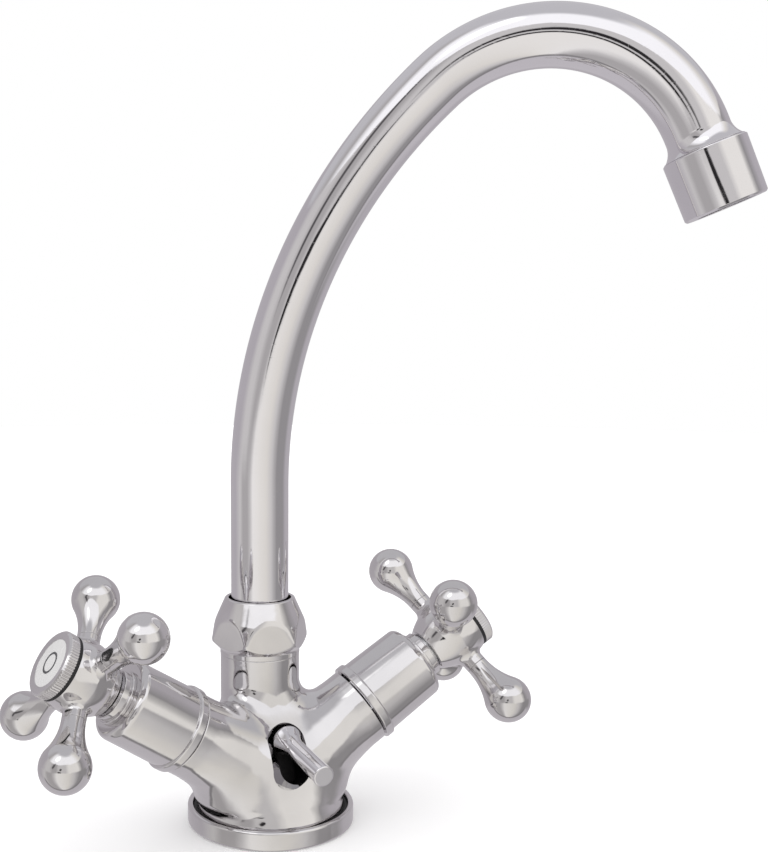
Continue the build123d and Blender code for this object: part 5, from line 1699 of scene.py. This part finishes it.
def tent_colour(tree):
    """Shade of the light tent by direction: three walls one above the other, a roof, a grey back
    half with a dark line round it below, and cards."""
    stage = settings("stage")
    way = tree.nodes.new("ShaderNodeTexCoord").outputs["Generated"]
    ripple = shader_node(tree, "TexNoise", {"Vector": way, "Scale": 2.6, "Detail": 2.0})
    centred = shader_node(tree, "VectorMath", {0: ripple.outputs["Color"], 1: (0.5, 0.5, 0.5)}, operation="SUBTRACT")
    shift = shader_node(tree, "VectorMath", {0: centred.outputs[0], "Scale": stage.ripple}, operation="SCALE")
    split = shader_node(tree, "SeparateXYZ", {0: way})
    back = shader_node(tree, "Math", {0: split.outputs["Y"], 1: -1.0}, operation="MULTIPLY")
    heading = shader_node(tree, "Math", {0: split.outputs["X"], 1: back.outputs[0]}, operation="ARCTAN2")
    home = np.arctan2(-CAMERA_LOOK[0], CAMERA_LOOK[1])
    offset = shader_node(tree, "Math", {0: heading.outputs[0], 1: -home}, operation="ADD")
    wrapped = shader_node(tree, "Math", {0: offset.outputs[0], 1: np.pi, 2: -np.pi}, operation="WRAP")
    rise = shader_node(tree, "Math", {0: split.outputs["Z"]}, operation="ARCSINE")
    flat = shader_node(tree, "CombineXYZ", {0: wrapped.outputs[0], 1: rise.outputs[0]})
    degrees = shader_node(tree, "VectorMath", {0: flat.outputs[0], "Scale": 180 / np.pi}, operation="SCALE")
    place = shader_node(tree, "VectorMath", {0: degrees.outputs[0], 1: shift.outputs[0]}, operation="ADD").outputs[0]
    moved = shader_node(tree, "SeparateXYZ", {0: place})
    right, up = moved.outputs["X"], moved.outputs["Y"]
    toward = shader_node(tree, "VectorMath", {0: way, 1: CAMERA_LOOK}, operation="DOT_PRODUCT").outputs["Value"]

    level = laid_over(tree, wall(tree, right, WALL_LOW), wall(tree, right, WALL_LEVEL), step(tree, up, -8, -1))
    high = laid_over(tree, level, wall(tree, right, WALL_HIGH), step(tree, up, 29, 31))
    covered = laid_over(tree, high, ROOF, step(tree, up, 58, 72))
    below = step(tree, up, -20, -35)
    behind = shader_node(tree, "Math", {0: step(tree, toward, 0.05, 0.12), 1: below}, operation="MULTIPLY").outputs[0]
    shown = laid_over(tree, covered, BACK_LOW, behind)
    edge = shader_node(tree, "Math", {0: toward, 1: -0.05}, operation="ADD")
    near_edge = shader_node(tree, "Math", {0: edge.outputs[0]}, operation="ABSOLUTE")
    line = shader_node(tree, "Math", {0: step(tree, near_edge.outputs[0], 0.10, 0.02), 1: below}, operation="MULTIPLY")
    shown = laid_over(tree, shown, (0.27, 0.26, 0.265), line.outputs[0])
    card_group()
    for start, end, half, soft, shade in CARDS:
        node = tree.nodes.new("ShaderNodeGroup")
        node.node_tree = bpy.data.node_groups["tent_card"]
        tree.links.new(place, node.inputs["Place"])
        node.inputs["Start"].default_value = (*start, 0)
        node.inputs["Run"].default_value = (end[0] - start[0], end[1] - start[1], 0)
        node.inputs["Half width"].default_value = half
        node.inputs["Softness"].default_value = soft
        shown = laid_over(tree, shown, shade, node.outputs[0])
    return shown


def tent_world():
    """World that is a pale backdrop to the camera, even light to matt surfaces and a light tent to
    polished ones."""
    stage = settings("stage")
    world = bpy.data.worlds.new("light_tent")
    world.use_nodes = True
    tree = world.node_tree
    tree.nodes.clear()
    tent = shader_node(tree, "Background", {"Color": tent_colour(tree), "Strength": stage.tent})
    shade = (stage.backdrop, stage.backdrop, stage.backdrop, 1)
    backdrop = shader_node(tree, "Background", {"Color": shade, "Strength": 1.0})
    path = tree.nodes.new("ShaderNodeLightPath")
    fill = shader_node(tree, "Background", {"Color": (1, 1, 1, 1), "Strength": stage.fill})
    matt = shader_node(tree, "MixShader", {0: path.outputs["Is Diffuse Ray"], 1: tent.outputs[0], 2: fill.outputs[0]})
    mixed = shader_node(tree, "MixShader", {0: path.outputs["Is Camera Ray"], 1: matt.outputs[0], 2: backdrop.outputs[0]})
    put = tree.nodes.new("ShaderNodeOutputWorld")
    tree.links.new(mixed.outputs[0], put.inputs["Surface"])
    bpy.context.scene.world = world


class TAP_OT_stage(bpy.types.Operator):
    """Builds the floor, the light and the camera"""

    bl_idname = "tap.stage"
    bl_label = "Stage"

    def execute(self, context):
        stage = settings("stage")
        tent_world()
        turns = np.arange(64) * TURN / 64
        rim = np.stack([np.cos(turns), np.sin(turns), np.zeros(64)], 1) * stage.floor_radius
        mesh = bpy.data.meshes.new("studio_floor")
        mesh.from_pydata(rim.tolist(), [], [list(range(64))])
        made, tree, shader, position = blank_finish("floor_paint", Roughness=0.7, Specular_IOR_Level=0.0)
        tree.links.new(tone(tree, position, stage.floor[:], 12, 0.01), shader.inputs["Base Color"])
        mesh.materials.append(made)
        floor = bpy.data.objects.new("studio_floor", mesh)
        floor.visible_glossy = False
        context.scene.collection.objects.link(floor)
        camera_data = bpy.data.cameras.new("front_camera")
        camera_data.lens = CAMERA_LENS
        camera_data.sensor_width = CAMERA_SENSOR
        camera_data.shift_x, camera_data.shift_y = CAMERA_SHIFT
        camera_data.clip_start = 0.01
        camera = bpy.data.objects.new("front_camera", camera_data)
        camera.location = CAMERA_SPOT
        camera.rotation_euler = Vector(CAMERA_LOOK).to_track_quat("-Z", "Y").to_euler()
        context.scene.collection.objects.link(camera)
        context.scene.camera = camera
        context.scene.view_settings.view_transform = "Standard"
        return {"FINISHED"}


GROUPS = {
    "foot": FootSizes,
    "body": BodySizes,
    "lever": LeverSizes,
    "spout": SpoutSizes,
    "nut": NutSizes,
    "valve": ValveSizes,
    "handle": HandleSizes,
    "finish": FinishSettings,
    "stage": StageSettings,
}
OPERATORS = [
    TAP_OT_finishes,
    TAP_OT_carried_nodes,
    TAP_OT_foot,
    TAP_OT_body,
    TAP_OT_lever,
    TAP_OT_spout,
    TAP_OT_nut,
    TAP_OT_valves,
    TAP_OT_hubs,
    TAP_OT_ball_arms,
    TAP_OT_caps,
    TAP_OT_stage,
]


class TAP_PT_pieces(bpy.types.Panel):
    """Lists the tap's pieces, one button each, and the settings they use"""

    bl_idname = "TAP_PT_pieces"
    bl_label = "Basin mixer tap"
    bl_space_type = "VIEW_3D"
    bl_region_type = "UI"
    bl_category = "Tap"

    def draw(self, context):
        for operator in OPERATORS:
            self.layout.operator(operator.bl_idname)
        for name, group in GROUPS.items():
            box = self.layout.box()
            box.label(text=group.__doc__)
            for key in group.__annotations__:
                box.prop(getattr(context.scene, "tap_" + name), key)


def register():
    for group in GROUPS.values():
        bpy.utils.register_class(group)
    for name, group in GROUPS.items():
        setattr(bpy.types.Scene, "tap_" + name, PointerProperty(type=group))
    for kind in OPERATORS + [TAP_PT_pieces]:
        bpy.utils.register_class(kind)


def unregister():
    for kind in reversed(OPERATORS + [TAP_PT_pieces]):
        bpy.utils.unregister_class(kind)
    for name, group in GROUPS.items():
        delattr(bpy.types.Scene, "tap_" + name)
        bpy.utils.unregister_class(group)


def main():
    """Registers the classes and makes every piece."""
    register()
    for operator in OPERATORS:
        getattr(bpy.ops.tap, operator.bl_idname.split(".")[1])()


if __name__ == "__main__":
    main()
